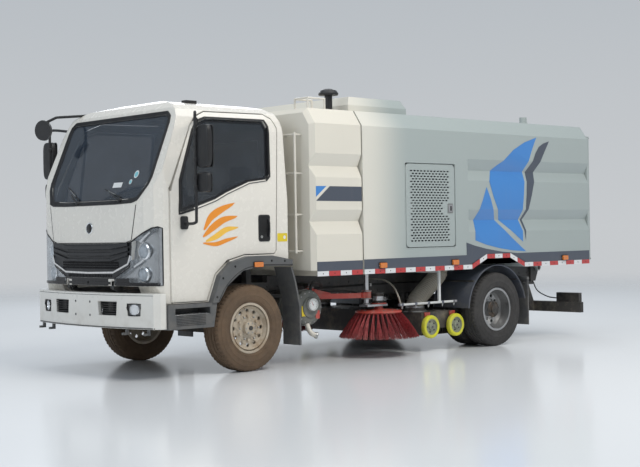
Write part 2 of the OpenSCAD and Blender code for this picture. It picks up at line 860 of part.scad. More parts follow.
column_p = [cx(760), cab_y - 400, 1330];
column_a = 40;
module steering_wheel() {
    color("black")
        translate(column_p)
            rotate([0, -column_a, 0]) {
                translate([0, 0, 200])
                    rotate_extrude($fn = 64)
                        translate([205, 0])
                            circle(r = 15, $fn = 24);
                translate([0, 0, 186])
                    cylinder(h = 26, r = 60);
                for (a = [0, 130, 230])
                    rotate([0, 0, a])
                        translate([0, -18, 190])
                            cube([198, 36, 16]);
                translate([0, 0, 100])
                    cylinder(h = 90, r = 12);
            }
}

module headlamps() {
    color("lightgray")
        both()
            intersection() {
                difference() {
                    cab_form(0);
                    cab_form(120);
                }
                front(lamp_line, cx(985), cx(1200));
            }
}

module grille() {
    color("slategray")
        intersection() {
            difference() {
                cab_form(0);
                cab_form(30);
            }
            front(grille_line, cx(1000), cx(1200));
        }
}

module cab_steps() {
    color("gray")
        both() {
            difference() {
                side(shifted([[973, 440], [973, 655], [440, 655], [480, 440]]), cab_y - 170, cab_y + 50);
                span(cx(520), cx(900), cab_y - 130, cab_y + 60, 560, 620);
            }
            side(shifted(concat(flare_out, flare_in)), cab_y, cab_y + 65);
            rod_z(door_axis_x, door_axis_y, 8, 650, 705);
        }
}

module cab_fittings() {
    color("white") {
        both()
            difference() {
                span(cx(310), cx(430), 520, 590, cab_roof_z - 60, cab_roof_z + 28);
                cab_form(0);
            }
        front_mirror();
    }
}

module link(a, b, r) {
    d = b - a;
    translate(a)
        rotate([0, acos(d[2] / norm(d)), atan2(d[1], d[0])])
            cylinder(h = norm(d), r = r);
}

// The round mirror ahead of the windscreen's right top corner, and its bent arm
front_mirror_w = 164;
front_mirror_h = 196;
front_mirror_t = 40;
module front_mirror() {
    difference() {
        union() {
            link([cx(640), 260 - cab_y, 2430], [cx(900), 100 - cab_y, 2412], 13, $fn = 12);
            link([cx(900), 100 - cab_y, 2412], [cx(1010), 40 - cab_y, 2350], 13, $fn = 12);
        }
        cab_form(0);
    }
    translate([cx(1010), 40 - cab_y, 2286])
        rotate([0, 0, 35])
            rotate([90, 0, 90])
                translate([0, 0, -front_mirror_t / 2])
                    linear_extrude(front_mirror_t)
                        polygon([for (a = [0:15:345]) [front_mirror_w / 2 * cos(a), front_mirror_h / 2 * sin(a)]]);
}

module door_panel() {
    intersection() {
        difference() {
            cab_form(0);
            cab_form(cab_wall);
        }
        door_inner();
    }
}

// The door's outline, inset by the door gap on every edge except at its rounded front edge
module door_inner() {
    g = door_gap;
    pts = shifted([[880, 665 + g], [508 + g, 665 + g], [414 + g, 900 + g * 0.6], [276 + g, 1016 + g],
                   [80, 1064 + g], [-280 + g, 1065 + g], [-305 + g, 1100], [-320 + g, 1570], [-385 + g, 2240],
                   [-345 + g, 2330 - g], [-264, 2372 - g], [428, 2362 - g], [560 - g, 2310 - g],
                   [640 - g, 2215], [864, 1690], [880, 1640]]);
    difference() {
        side(pts, cab_y - 300, cab_y + 60);
        side(shifted(window_line), cab_y - 320, cab_y + 80);
        span(cx(cab_back), cx(1000), cab_y - 400, cab_y - cab_wall, 500, 1250);
    }
}

module door_left_panel() {
    difference() {
        union() {
            door_panel();
            rod_z(door_axis_x, door_axis_y, cab_wall / 2, 665 + door_gap, 1560);
            intersection() {
                rod_z(door_axis_x, door_axis_y, cab_wall / 2, 1559, 1640);
                cab_form(0);
            }
        }
        rod_z(door_axis_x, door_axis_y, 8 + slack, 600, 730);
    }
}

module door() {
    color("antiquewhite")
        door_left_panel();
}

module door_glass() {
    color("skyblue")
        intersection() {
            difference() {
                cab_form(18);
                cab_form(26);
            }
            side(shifted(window_line), cab_y - 320, cab_y + 80);
        }
}

mirror_x = cx(740);
mirror_y = 1240;
module door_mirrors() {
    color("black") {
        span(mirror_x - 25, mirror_x + 25, mirror_y - 80, mirror_y + 100, 1830, 2200);
        span(mirror_x - 25, mirror_x + 25, mirror_y - 80, mirror_y + 80, 1620, 1790);
        rod_z(mirror_x + 45, mirror_y - 60, 14, 1480, 2330);
        for (z = [1700, 1900, 2100])
            span(mirror_x + 20, mirror_x + 50, mirror_y - 75, mirror_y - 45, z - 15, z + 15);
        side([[mirror_x + 20, 1300], [mirror_x + 80, 1300], [mirror_x + 80, 1420], [mirror_x + 20, 1420]],
             cab_y, cab_y + 40);
        span(mirror_x + 31, mirror_x + 59, cab_y + 30, mirror_y - 46, 1340, 1370);
        difference() {
            link([mirror_x + 45, mirror_y - 60, 2310], [cx(545), cab_y - 90, 2266], 13);
            cab_form(0);
        }
        rod_z(mirror_x + 45, mirror_y - 60, 14, 1355, 1480);
    }
}

// ---- Side brushes ----
module brush_arm() {
    color("firebrick")
        difference() {
            union() {
                rod_z(swing_x, swing_y, 45, 536, 724);
                side_arm(swing_x, swing_y, rod_x + 140, 860);
                side_arm(rod_x + 140, 860, rod_x, brush_y);
                rod_z(rod_x, brush_y, 48, arm_z - 20, arm_z + arm_h + 20);
            }
            rod_z(swing_x, swing_y, 22 + slack, 500, 760);
            rod_z(rod_x, brush_y, rod_r + slack, arm_z - 40, arm_z + arm_h + 40);
        }
}

module side_arm(x0, y0, x1, y1) {
    translate([x0, y0, arm_z])
        rotate([0, 0, atan2(y1 - y0, x1 - x0)])
            translate([0, -30, 0])
                cube([norm([x1 - x0, y1 - y0]), 60, arm_h]);
}

motor_z = 505;
module brush_slide() {
    color("silver")
        union() {
            rod_z(rod_x, brush_y, rod_r, motor_z + 2, skirt_z - 12);
            span(brush_x - 70, rod_x + 45, brush_y - 60, brush_y + 60, motor_z, motor_z + 20);
            rod_z(brush_x, brush_y, 55, motor_z + 18, motor_z + 130);
        }
}

module brush() {
    color("firebrick")
        translate([brush_x, brush_y, 0])
            rotate_extrude($fn = 72)
                polygon([[0, 430], [0, motor_z - 0.3], [40, motor_z - 0.3], [40, 470], [brush_disc_d / 2, 460],
                         [brush_disc_d / 2 + 14, 430], [brush_d / 2, brush_z], [brush_d / 2 - 90, brush_z],
                         [brush_disc_d / 2 - 60, 430]]);
}

// ---- Suction head ----
head_z0 = head_z + 30;
head_z1 = 410;
module suction_head() {
    color("slategray") {
        difference() {
            span(head_x1 - head_len, head_x1, -head_w / 2, head_w / 2, head_z0, head_z1);
            span(head_x1 - head_len + 20, head_x1 - 20, -head_w / 2 + 20, head_w / 2 - 20, head_z0 - 10, head_z1 - 20);
            both()
                rod_z(hose_x, hose_y, hose_d / 2 - 14, head_z1 - 40, head_z1 + 10);
        }
        both()
            difference() {
                rod_z(hose_x, hose_y, hose_d / 2 + 6, head_z1, head_z1 + 60);
                rod_z(hose_x, hose_y, hose_d / 2 - 14, head_z1 - 10, head_z1 + 70);
            }
        for (x = castor_x)
            both()
                rod_y(x, head_z + castor_r, 12, head_w / 2 - 20, castor_y + 34);
        for (x = [head_x1 - 340])
            both()
                rod_z(x, 300, 28, head_z1, 830);
    }
}

module head_guides() {
    both()
        difference() {
            union() {
                span(head_x1 - 400, head_x1 - 280, 240, rail_y + rail_w - 10, 680, 720);
                rod_z(head_x1 - 340, 300, 50, 660, 740);
            }
            rod_z(head_x1 - 340, 300, 28 + slack, 600, 800);
        }
}

module head_wheels(x) {
    color("gold")
        both()
            difference() {
                rod_y(x, head_z + castor_r, castor_r, castor_y - 28, castor_y + 28);
                rod_y(x, head_z + castor_r, 12 + slack, castor_y - 60, castor_y + 60);
            }
}

module suction_hose() {
    color("tan")
        both()
            hull() {
                rod_z(hose_x, hose_y, hose_d / 2, head_z1 + 60, head_z1 + 64);
                rod_z(inlet_x, hose_y, hose_d / 2, skirt_z - 10, skirt_z - 6);
            }
}

// ---- The parts ----
union() {
    frame_rails();
    color("dimgray") head_guides();
}
front_axle();
rear_axle();
leaf_springs();
engine_block();
bumper();
bumper_lamps();
side_tank();
battery_box();
mudguards();
underride_guard();
front_module();
module_ladder();
stack();
spray_bars();
cab_shell();
cab_glass();
cab_interior();
headlamps();
grille();
cab_steps();
cab_fittings();
door();  // door_left
mirror([0, 1, 0]) door();  // door_right
door_glass();  // glass_left
mirror([0, 1, 0]) door_glass();  // glass_right
door_mirrors();  // mirrors_left
mirror([0, 1, 0]) door_mirrors();  // mirrors_right
steering_wheel();
knuckle();  // knuckle_left
mirror([0, 1, 0]) knuckle();  // knuckle_right
color("black") wheel_at(fa, front_y) tyre_ring();  // tyre_front_left
color("tan") wheel_at(fa, front_y) front_rim();  // rim_front_left
color("black") mirror([0, 1, 0]) wheel_at(fa, front_y) tyre_ring();  // tyre_front_right
color("tan") mirror([0, 1, 0]) wheel_at(fa, front_y) front_rim();  // rim_front_right
color("black") {  // tyres_rear_left
    wheel_at(ra, rear_y) tyre_ring();
    wheel_at(ra, rear_y - twin_gap) tyre_ring();
}
color("tan") wheel_at(ra, rear_y) rear_rims();  // rims_rear_left
color("black") mirror([0, 1, 0]) {  // tyres_rear_right
    wheel_at(ra, rear_y) tyre_ring();
    wheel_at(ra, rear_y - twin_gap) tyre_ring();
}
color("tan") mirror([0, 1, 0]) wheel_at(ra, rear_y) rear_rims();  // rims_rear_right
hopper_shell();
hopper_fittings();
rear_door();
side_door();  // side_door_left
mirror([0, 1, 0]) side_door();  // side_door_right
ram_barrel();
ram_rod();
brush_arm();  // brush_arm_left
mirror([0, 1, 0]) brush_arm();  // brush_arm_right
brush_slide();  // brush_slide_left
mirror([0, 1, 0]) brush_slide();  // brush_slide_right
brush();  // brush_left
mirror([0, 1, 0]) brush();  // brush_right
suction_head();
head_wheels(castor_x[0]);  // head_wheels_front
head_wheels(castor_x[1]);  // head_wheels_rear
suction_hose();
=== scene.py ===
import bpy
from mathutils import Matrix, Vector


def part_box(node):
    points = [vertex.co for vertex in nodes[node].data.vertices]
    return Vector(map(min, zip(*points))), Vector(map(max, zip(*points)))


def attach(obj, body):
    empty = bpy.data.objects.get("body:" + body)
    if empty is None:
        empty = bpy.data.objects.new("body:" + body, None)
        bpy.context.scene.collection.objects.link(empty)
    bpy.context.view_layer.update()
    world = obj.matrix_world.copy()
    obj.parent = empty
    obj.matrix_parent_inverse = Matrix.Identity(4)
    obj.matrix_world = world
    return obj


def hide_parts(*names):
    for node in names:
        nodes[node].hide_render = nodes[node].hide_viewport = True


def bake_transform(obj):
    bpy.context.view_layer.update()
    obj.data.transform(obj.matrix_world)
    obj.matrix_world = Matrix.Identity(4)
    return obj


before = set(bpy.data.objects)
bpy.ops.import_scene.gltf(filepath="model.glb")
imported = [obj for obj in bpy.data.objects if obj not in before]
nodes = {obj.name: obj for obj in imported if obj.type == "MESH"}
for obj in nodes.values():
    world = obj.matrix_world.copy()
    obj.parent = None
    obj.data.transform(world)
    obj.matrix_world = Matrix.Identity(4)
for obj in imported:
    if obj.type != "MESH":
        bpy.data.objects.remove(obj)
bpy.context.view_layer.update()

import math
import random

import bpy
import bmesh
import numpy as np
from mathutils import Matrix, Vector
from mathutils.bvhtree import BVHTree

rng = random.Random(11)
scene = bpy.context.scene

# ---------------------------------------------------------------- camera
# Solved from the photograph's view: 137 degrees round, level, turned by a small roll.
yaw, pitch, roll = math.radians(-42.8645), math.radians(0.046), math.radians(-0.9709)


def view_direction():
    return Vector((math.sin(yaw) * math.cos(pitch), -math.cos(yaw) * math.cos(pitch), -math.sin(pitch)))


# ---------------------------------------------------------------- materials
class Mat:
    """A procedural material: one Principled shader and the nodes that feed it."""

    def __init__(self, name, rough=0.5, metal=0.0, coat=0.0, coat_rough=0.05, spec=0.5, sheen=0.0):
        self.m = bpy.data.materials.new(name)
        self.m.use_nodes = True
        self.n, self.l = self.m.node_tree.nodes, self.m.node_tree.links
        self.b = self.n["Principled BSDF"]
        self.set("Roughness", rough)
        self.set("Metallic", metal)
        self.set("Coat Weight", coat)
        self.set("Coat Roughness", coat_rough)
        self.set("Specular IOR Level", spec)
        self.set("Sheen Weight", sheen)
        self.co = self.n.new("ShaderNodeTexCoord").outputs["Object"]

    def set(self, socket, value):
        self.b.inputs[socket].default_value = value

    def feed(self, socket, out):
        self.l.new(out, self.b.inputs[socket])

    def scaled(self, x, y, z):
        m = self.n.new("ShaderNodeMapping")
        m.inputs["Scale"].default_value = (x, y, z)
        self.l.new(self.co, m.inputs["Vector"])
        return m.outputs[0]

    def noise(self, scale, detail=4.0, rough=0.55, vec=None, distort=0.0):
        t = self.n.new("ShaderNodeTexNoise")
        t.inputs["Scale"].default_value = scale
        t.inputs["Detail"].default_value = detail
        t.inputs["Roughness"].default_value = rough
        t.inputs["Distortion"].default_value = distort
        self.l.new(vec or self.co, t.inputs["Vector"])
        return t.outputs[0]

    def voronoi(self, scale, feature="F1", vec=None):
        t = self.n.new("ShaderNodeTexVoronoi")
        t.feature = feature
        t.inputs["Scale"].default_value = scale
        self.l.new(vec or self.co, t.inputs["Vector"])
        return t.outputs["Distance"]

    def wave(self, scale, axis="X", distort=0.0, vec=None):
        t = self.n.new("ShaderNodeTexWave")
        t.bands_direction = axis
        t.inputs["Scale"].default_value = scale
        t.inputs["Distortion"].default_value = distort
        self.l.new(vec or self.co, t.inputs["Vector"])
        return t.outputs["Fac"]

    def axis(self, i):
        s = self.n.new("ShaderNodeSeparateXYZ")
        self.l.new(self.co, s.inputs[0])
        return s.outputs[i]

    def span(self, value, lo, hi, a=0.0, b=1.0):
        m = self.n.new("ShaderNodeMapRange")
        m.interpolation_type = "SMOOTHSTEP"
        for k, v in zip(("From Min", "From Max", "To Min", "To Max"), (lo, hi, a, b)):
            m.inputs[k].default_value = v
        self.l.new(value, m.inputs["Value"])
        return m.outputs[0]

    def op(self, kind, a, b):
        m = self.n.new("ShaderNodeMath")
        m.operation = kind
        for s, v in zip(m.inputs, (a, b)):
            if isinstance(v, (int, float)):
                s.default_value = v
            else:
                self.l.new(v, s)
        return m.outputs[0]

    def mix(self, fac, a, b):
        m = self.n.new("ShaderNodeMix")
        m.data_type = "RGBA"
        for i, v in ((0, fac), (6, a), (7, b)):
            if isinstance(v, (int, float)):
                m.inputs[i].default_value = v
            elif isinstance(v, tuple):
                m.inputs[i].default_value = (*v, 1)
            else:
                self.l.new(v, m.inputs[i])
        return m.outputs[2]

    def bump(self, height, strength=0.3, dist=0.002, soft=0.0):
        b = self.n.new("ShaderNodeBump")
        b.inputs["Strength"].default_value = strength
        b.inputs["Distance"].default_value = dist
        self.l.new(height, b.inputs["Height"])
        if soft:
            e = self.n.new("ShaderNodeBevel")
            e.samples = 4
            e.inputs["Radius"].default_value = soft
            self.l.new(e.outputs[0], b.inputs["Normal"])
        self.feed("Normal", b.outputs[0])


def paint(name, col, rough=0.3, coat=0.6, dust=0.35, dust_col=(0.36, 0.30, 0.23), top=1.1, soft=0.0,
    painted_reflection=None):
    """Sprayed paint: faint mottling, orange peel and road dust that thickens towards the ground, and if asked a painted
    reflection that shifts the colour along x.
    """
    m = Mat(name, rough, coat=coat)
    base = col
    # painted reflection: the colour blends from col to a second colour along x, standing in for the surroundings
    # mirrored in the paint
    if painted_reflection:
        x0, x1, other = painted_reflection
        base = m.mix(m.span(m.axis(0), x0, x1), col, other)
    mottle = m.mix(m.span(m.noise(1.6, 5), 0.3, 0.7), base,
        tuple(c * 0.975 for c in col) if not painted_reflection else base)
    low = m.span(m.axis(2), top, 0.25)
    spots = m.span(m.noise(7.0, 8, 0.65), 0.42, 0.72)
    amount = m.op("MULTIPLY", m.op("MULTIPLY", low, m.op("ADD", spots, 0.25)), dust)
    runs = m.span(m.noise(3.0, 6, 0.6, m.scaled(6, 6, 0.7)), 0.56, 0.8, 0.0, 0.03)
    m.feed("Base Color", m.mix(m.op("ADD", amount, runs), mottle, dust_col))
    m.feed("Roughness", m.op("ADD", m.span(m.noise(20, 4), 0.3, 0.7, rough * 0.95, rough * 1.08),
        m.op("MULTIPLY", amount, 0.5)))
    m.bump(m.noise(420, 2), 0.03, 0.0004, soft)
    return m.m


def plastic(name, col, rough=0.55, grain=900, dust=0.35, top=1.2, soft=0.0, dust_col=(0.33, 0.29, 0.24)):
    """Moulded plastic: fine grain, scuffs and dust."""
    m = Mat(name, rough, spec=0.4)
    low = m.span(m.axis(2), top, 0.2)
    amount = m.op("MULTIPLY", m.op("MULTIPLY", low, m.span(m.noise(9, 7, 0.65), 0.35, 0.75)), dust)
    shade = m.mix(m.span(m.noise(3.5, 4), 0.3, 0.7), col, tuple(c * 0.86 for c in col))
    m.feed("Base Color", m.mix(amount, shade, dust_col))
    m.feed("Roughness", m.span(m.noise(14, 5), 0.3, 0.7, rough * 0.88, min(1, rough * 1.15)))
    m.bump(m.voronoi(grain), 0.25, 0.0008, soft)
    return m.m


def metal(name, col, rough=0.35, stretch=(1, 1, 1), scale=260, grime=0.25, soft=0.0, dark=(0.07, 0.06, 0.05)):
    """Brushed or drawn metal, with grime in the low spots."""
    m = Mat(name, rough, metal=1.0)
    g = m.noise(scale, 3, 0.6, m.scaled(*stretch))
    stain = m.op("MULTIPLY", m.span(m.noise(6, 7, 0.65), 0.45, 0.8), grime)
    m.feed("Base Color", m.mix(stain, m.mix(m.span(g, 0.3, 0.7), col, tuple(c * 0.82 for c in col)), dark))
    m.feed("Roughness", m.span(g, 0.25, 0.75, rough * 0.8, rough * 1.25))
    m.bump(g, 0.12, 0.0005, soft)
    return m.m


def cast(name, col, rust=0.3):
    """Rough cast iron with a thin film of rust and road dirt."""
    m = Mat(name, 0.75, metal=0.3)
    m.feed("Base Color", m.mix(m.op("MULTIPLY", m.span(m.noise(11, 8, 0.7), 0.42, 0.7), rust), col,
        (0.20, 0.13, 0.08)))
    m.feed("Roughness", m.span(m.noise(30, 5), 0.3, 0.7, 0.6, 0.9))
    m.bump(m.noise(160, 6, 0.7), 0.5, 0.002)
    return m.m


def tyre_mat(name, col, dust_col, amount):
    m = Mat(name, 0.85, spec=0.3)
    patch = m.span(m.noise(5, 8, 0.62), 0.30, 0.70, amount * 0.6, amount)
    m.feed("Base Color", m.mix(patch, m.mix(m.span(m.noise(60, 4), 0.3, 0.7), col,
        tuple(c * 1.35 for c in col)), dust_col))
    m.feed("Roughness", m.span(m.noise(25, 5), 0.3, 0.7, 0.74, 0.95))
    m.bump(m.noise(300, 5, 0.7), 0.3, 0.001)
    return m.m


def glass(name, tint, alpha, rough=0.02):
    """Thin tinted sheet: it lets light through and mirrors at a slant."""
    m = Mat(name, rough, spec=0.9)
    smear = m.span(m.noise(4, 6, 0.6, distort=1.2), 0.35, 0.75)
    m.feed("Base Color", m.mix(smear, tint, tuple(min(1, c * 1.5 + 0.01) for c in tint)))
    m.feed("Roughness", m.span(m.noise(9, 5), 0.3, 0.7, rough, rough + 0.05))
    lw = m.n.new("ShaderNodeLayerWeight")
    lw.inputs["Blend"].default_value = 0.35
    m.feed("Alpha", m.span(lw.outputs["Facing"], 0.0, 1.0, alpha, min(1.0, alpha + 0.45)))
    m.bump(m.noise(1.2, 1), 0.008, 0.001)
    return m.m


def fabric(name, col, other, scale=700):
    m = Mat(name, 0.9, sheen=0.35, spec=0.2)
    warp = m.wave(scale / 6, "X")
    weft = m.wave(scale / 6, "Z")
    weave = m.op("MULTIPLY", warp, weft)
    m.feed("Base Color", m.mix(weave, m.mix(m.span(m.noise(9, 5), 0.3, 0.7), col,
        tuple(c * 0.8 for c in col)), other))
    m.bump(weave, 0.5, 0.001)
    return m.m


def lens(name, col, rough=0.12, ribs=180):
    """Moulded lamp lens with fine ribs inside."""
    m = Mat(name, rough, coat=1.0, coat_rough=0.04)
    r = m.wave(ribs, "Z")
    m.feed("Base Color", m.mix(m.span(r, 0, 1, 0.0, 0.35), col, tuple(c * 0.45 for c in col)))
    m.feed("Roughness", m.span(m.noise(40, 3), 0.3, 0.7, rough, rough + 0.12))
    m.bump(r, 0.35, 0.001)
    return m.m


def bristle_mat(name, col):
    m = Mat(name, 0.62, sheen=0.2)
    s = m.noise(55, 6, 0.6)
    dirt = m.op("MULTIPLY", m.span(m.axis(2), 0.30, 0.16), m.span(m.noise(26, 6, 0.65), 0.35, 0.7, 0.1, 0.55))
    m.feed("Base Color", m.mix(dirt, m.mix(m.span(s, 0.3, 0.7), col, tuple(c * 0.42 for c in col)),
        (0.26, 0.12, 0.10)))
    m.feed("Roughness", m.span(s, 0.3, 0.7, 0.5, 0.8))
    m.bump(m.noise(700, 3), 0.5, 0.001)
    return m.m


GREY_GREEN = (0.345, 0.390, 0.382)
M = {
    "cab": paint("cab_cream", (0.745, 0.712, 0.645), 0.26, 0.7, 0.10, soft=0.018),
    "door": paint("door_cream", (0.745, 0.712, 0.645), 0.26, 0.7, 0.10, soft=0.010),
    "bumper": paint("bumper_cream", (0.73, 0.71, 0.66), 0.28, 0.6, 0.35, top=0.8, soft=0.014),
    "module": paint("module_cream", (0.70, 0.665, 0.58), 0.36, 0.35, 0.18, soft=0.006),
    # hopper: grey-green, with a painted reflection that turns it cream towards the front
    "hopper": paint("hopper_painted_reflection", GREY_GREEN, 0.36, 0.35, 0.16, soft=0.006,
        painted_reflection=(-0.05, 0.62, (0.66, 0.64, 0.57))),
    "hopper_rear": paint("hopper_rear", GREY_GREEN, 0.36, 0.35, 0.2, soft=0.004),
    "slate": paint("slate_band", (0.060, 0.072, 0.098), 0.38, 0.3, 0.25),
    "blue": paint("blue_graphic", (0.045, 0.215, 0.56), 0.32, 0.4, 0.1),
    "orange": paint("orange_swoosh", (0.80, 0.27, 0.015), 0.34, 0.4, 0.05),
    "amber": paint("amber_swoosh", (0.86, 0.50, 0.06), 0.34, 0.4, 0.05),
    "red_tape": lens("tape_red", (0.52, 0.02, 0.02), 0.3, 90),
    "white_tape": lens("tape_white", (0.78, 0.79, 0.80), 0.3, 90),
    "frame": paint("frame_black", (0.030, 0.031, 0.034), 0.5, 0.1, 0.45, top=1.0, soft=0.003),
    "grey": plastic("grey_plastic", (0.105, 0.108, 0.110), 0.55, 700, 0.30, soft=0.008),
    "black": plastic("black_plastic", (0.018, 0.018, 0.019), 0.42, 800, 0.25, soft=0.004),
    "gloss_black": plastic("gloss_black", (0.010, 0.010, 0.012), 0.18, 900, 0.08),
    "rubber": plastic("seal_rubber", (0.014, 0.014, 0.015), 0.6, 500, 0.1),
    "tyre_front": tyre_mat("tyre_dusty", (0.030, 0.026, 0.022), (0.200, 0.130, 0.080), 0.72),
    "tyre_rear": tyre_mat("tyre_dark", (0.020, 0.020, 0.021), (0.085, 0.080, 0.076), 0.55),
    "rim": paint("rim_dusty", (0.50, 0.44, 0.35), 0.42, 0.2, 0.75, (0.30, 0.21, 0.13), top=2.0, soft=0.004),
    "rim_rear": metal("rim_silver", (0.50, 0.50, 0.50), 0.42, grime=0.45, soft=0.004),
    "cast": cast("cast_iron", (0.06, 0.058, 0.055), 0.5),
    "steel": metal("bright_steel", (0.60, 0.60, 0.61), 0.32, (1, 1, 0.05)),
    "cream_tube": paint("cream_tube", (0.66, 0.63, 0.56), 0.4, 0.3, 0.2),
    "chrome": metal("chrome", (0.86, 0.87, 0.88), 0.07, scale=40, grime=0.05),
    "bolt": metal("bolt_zinc", (0.42, 0.42, 0.41), 0.38, scale=500, grime=0.5),
    "glass": glass("window_tint", (0.016, 0.022, 0.030), 0.50),
    "screen": glass("screen_tint", (0.020, 0.030, 0.045), 0.42),
    "clear": glass("lamp_cover", (0.55, 0.58, 0.60), 0.10),
    "mirror": metal("mirror_face", (0.80, 0.83, 0.86), 0.03, scale=20, grime=0.03),
    "red": paint("red_arm", (0.50, 0.030, 0.018), 0.36, 0.4, 0.45, top=1.4),
    "bristle": bristle_mat("bristle_red", (0.34, 0.018, 0.022)),
    "yellow": plastic("yellow_tyre", (0.70, 0.68, 0.03), 0.5, 400, 0.3),
    "hose": plastic("hose_beige", (0.34, 0.315, 0.265), 0.55, 500, 0.5),
    "white": plastic("white_plastic", (0.66, 0.67, 0.66), 0.42, 700, 0.2),
    "canister": plastic("canister_grey", (0.135, 0.145, 0.135), 0.45, 400, 0.5),
    "olive": paint("olive_part", (0.22, 0.25, 0.18), 0.45, 0.2, 0.4),
    "blue_grey": paint("blue_grey_post", (0.085, 0.10, 0.14), 0.4, 0.3, 0.4),
    "amber_lens": lens("amber_lens", (0.72, 0.20, 0.02), 0.14, 160),
    "red_lens": lens("red_lens", (0.50, 0.015, 0.015), 0.14, 160),
    "white_lens": lens("white_lens", (0.78, 0.79, 0.80), 0.12, 160),
    "seat": fabric("seat_cloth", (0.055, 0.056, 0.062), (0.10, 0.10, 0.11)),
    "dash": plastic("dash_grey", (0.075, 0.076, 0.080), 0.62, 1200, 0.0),
    "sticker_yellow": paint("sticker_yellow", (0.72, 0.55, 0.02), 0.4, 0.3, 0.1),
    "sticker_aqua": paint("sticker_aqua", (0.18, 0.50, 0.56), 0.4, 0.3, 0.0),
    "sticker_white": paint("sticker_white", (0.72, 0.73, 0.72), 0.4, 0.3, 0.0),
    "dark": plastic("dark_inside", (0.012, 0.012, 0.013), 0.8, 300, 0.2),
    "louvre": plastic("grille_plastic", (0.020, 0.021, 0.023), 0.34, 900, 0.12, soft=0.002),
}


def give(mat, *names):
    for n in names:
        for s in nodes[n].material_slots:
            s.material = M[mat]


# ---------------------------------------------------------------- mesh helpers
class Part:
    """Gathers shapes, in metres in the row frame, into one piece that rides on one body."""

    def __init__(self, name, body, slot, *replaced):
        self.name, self.body, self.slot, self.replaced = name, body, slot, replaced
        self.v, self.f, self.mi, self.sm, self.mats = [], [], [], [], []

    def add(self, verts, faces, mat, smooth=True):
        k = len(self.v)
        if mat not in self.mats:
            self.mats.append(mat)
        self.v += [tuple(p) for p in verts]
        self.f += [tuple(i + k for i in f) for f in faces]
        self.mi += [self.mats.index(mat)] * len(faces)
        self.sm += [smooth] * len(faces)

    def box(self, lo, hi, mat, move=None):
        (a, b, c), (d, e, f) = lo, hi
        v = [Vector(p) for p in ((a, b, c), (d, b, c), (d, e, c), (a, e, c), (a, b, f), (d, b, f), (d, e, f),
            (a, e, f))]
        if move:
            v = [move @ p for p in v]
        self.add(v, [(0, 3, 2, 1), (4, 5, 6, 7), (0, 1, 5, 4), (1, 2, 6, 5), (2, 3, 7, 6), (3, 0, 4, 7)], mat,
            False)

    def lathe(self, prof, at, axis, mat, segs=48, closed=False, move=None):
        """Turns (radius, distance along axis) points about an axis through at."""
        z = Vector(axis).normalized()
        x = z.orthogonal().normalized() if abs(z.y) < 0.9 else Vector((1, 0, 0))
        y = z.cross(x)
        at = Vector(at)
        v, n = [], len(prof)
        for i in range(segs):
            t = 2 * math.pi * i / segs
            r = x * math.cos(t) + y * math.sin(t)
            v += [at + r * p[0] + z * p[1] for p in prof]
        if move:
            v = [move @ p for p in v]
        f = []
        for i in range(segs):
            j = (i + 1) % segs
            for k in range(n if closed else n - 1):
                m = (k + 1) % n
                f.append((i * n + k, j * n + k, j * n + m, i * n + m))
        self.add(v, f, mat)

    def tube(self, pts, r, mat, segs=12, closed=False, ribs=0.0, rib_len=0.02):
        """A round tube along a path, ribbed if asked."""
        pts = [Vector(p) for p in pts]
        if ribs:
            pts = resample(pts, rib_len / 2)
        rings, up = [], None
        for i, p in enumerate(pts):
            a = pts[(i - 1) % len(pts)] if closed or i else p
            b = pts[(i + 1) % len(pts)] if closed or i + 1 < len(pts) else p
            t = (b - a).normalized()
            if up is None:
                up = t.orthogonal().normalized()
            up = (up - t * up.dot(t)).normalized()
            side = t.cross(up)
            q = r * (1 + (ribs if i % 2 else 0))
            rings.append([p + (up * math.cos(s) + side * math.sin(s)) * q
                          for s in (2 * math.pi * k / segs for k in range(segs))])
        v = [q for ring in rings for q in ring]
        f = []
        last = len(rings) if closed else len(rings) - 1
        for i in range(last):
            j = (i + 1) % len(rings)
            for k in range(segs):
                m = (k + 1) % segs
                f.append((i * segs + k, i * segs + m, j * segs + m, j * segs + k))
        self.add(v, f, mat)
        if not closed:
            self.add(rings[0], [tuple(reversed(range(segs)))], mat)
            self.add(rings[-1], [tuple(range(segs))], mat)

    def slab(self, pts, off, mat):
        """A flat outline given a thickness by the offset vector."""
        p = [Vector(q) for q in pts]
        n = len(p)
        v = p + [q + Vector(off) for q in p]
        f = [tuple(reversed(range(n))), tuple(range(n, 2 * n))]
        f += [(i, (i + 1) % n, n + (i + 1) % n, n + i) for i in range(n)]
        self.add(v, f, mat, False)

    def bolt(self, at, axis, r, mat="bolt", h=None):
        h = h or r * 0.8
        z = Vector(axis).normalized()
        self.lathe([(r * 1.5, 0), (r * 1.5, h * 0.25), (0, h * 0.25)], at, z, mat, 16)
        self.lathe([(r, h * 0.2), (r, h * 0.9), (r * 0.85, h), (0, h)], at, z, mat, 6)

    def done(self, bevel=0.0, angle=35):
        me = bpy.data.meshes.new(self.name)
        me.from_pydata([tuple(p) for p in self.v], [], self.f)
        for m in self.mats:
            me.materials.append(M[m])
        me.polygons.foreach_set("material_index", self.mi)
        me.polygons.foreach_set("use_smooth", self.sm)
        bm = bmesh.new()
        bm.from_mesh(me)
        bmesh.ops.remove_doubles(bm, verts=bm.verts, dist=1e-5)
        bmesh.ops.recalc_face_normals(bm, faces=bm.faces)
        bm.to_mesh(me)
        bm.free()
        me.set_sharp_from_angle(angle=math.radians(angle))
        o = bpy.data.objects.new(self.name, me)
        scene.collection.objects.link(o)
        if bevel:
            b = o.modifiers.new("edge", "BEVEL")
            b.width, b.segments, b.limit_method, b.angle_limit = bevel, 2, "ANGLE", math.radians(40)
        if self.body:
            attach(o, self.body)
        if self.replaced:
            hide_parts(*self.replaced)
        return o


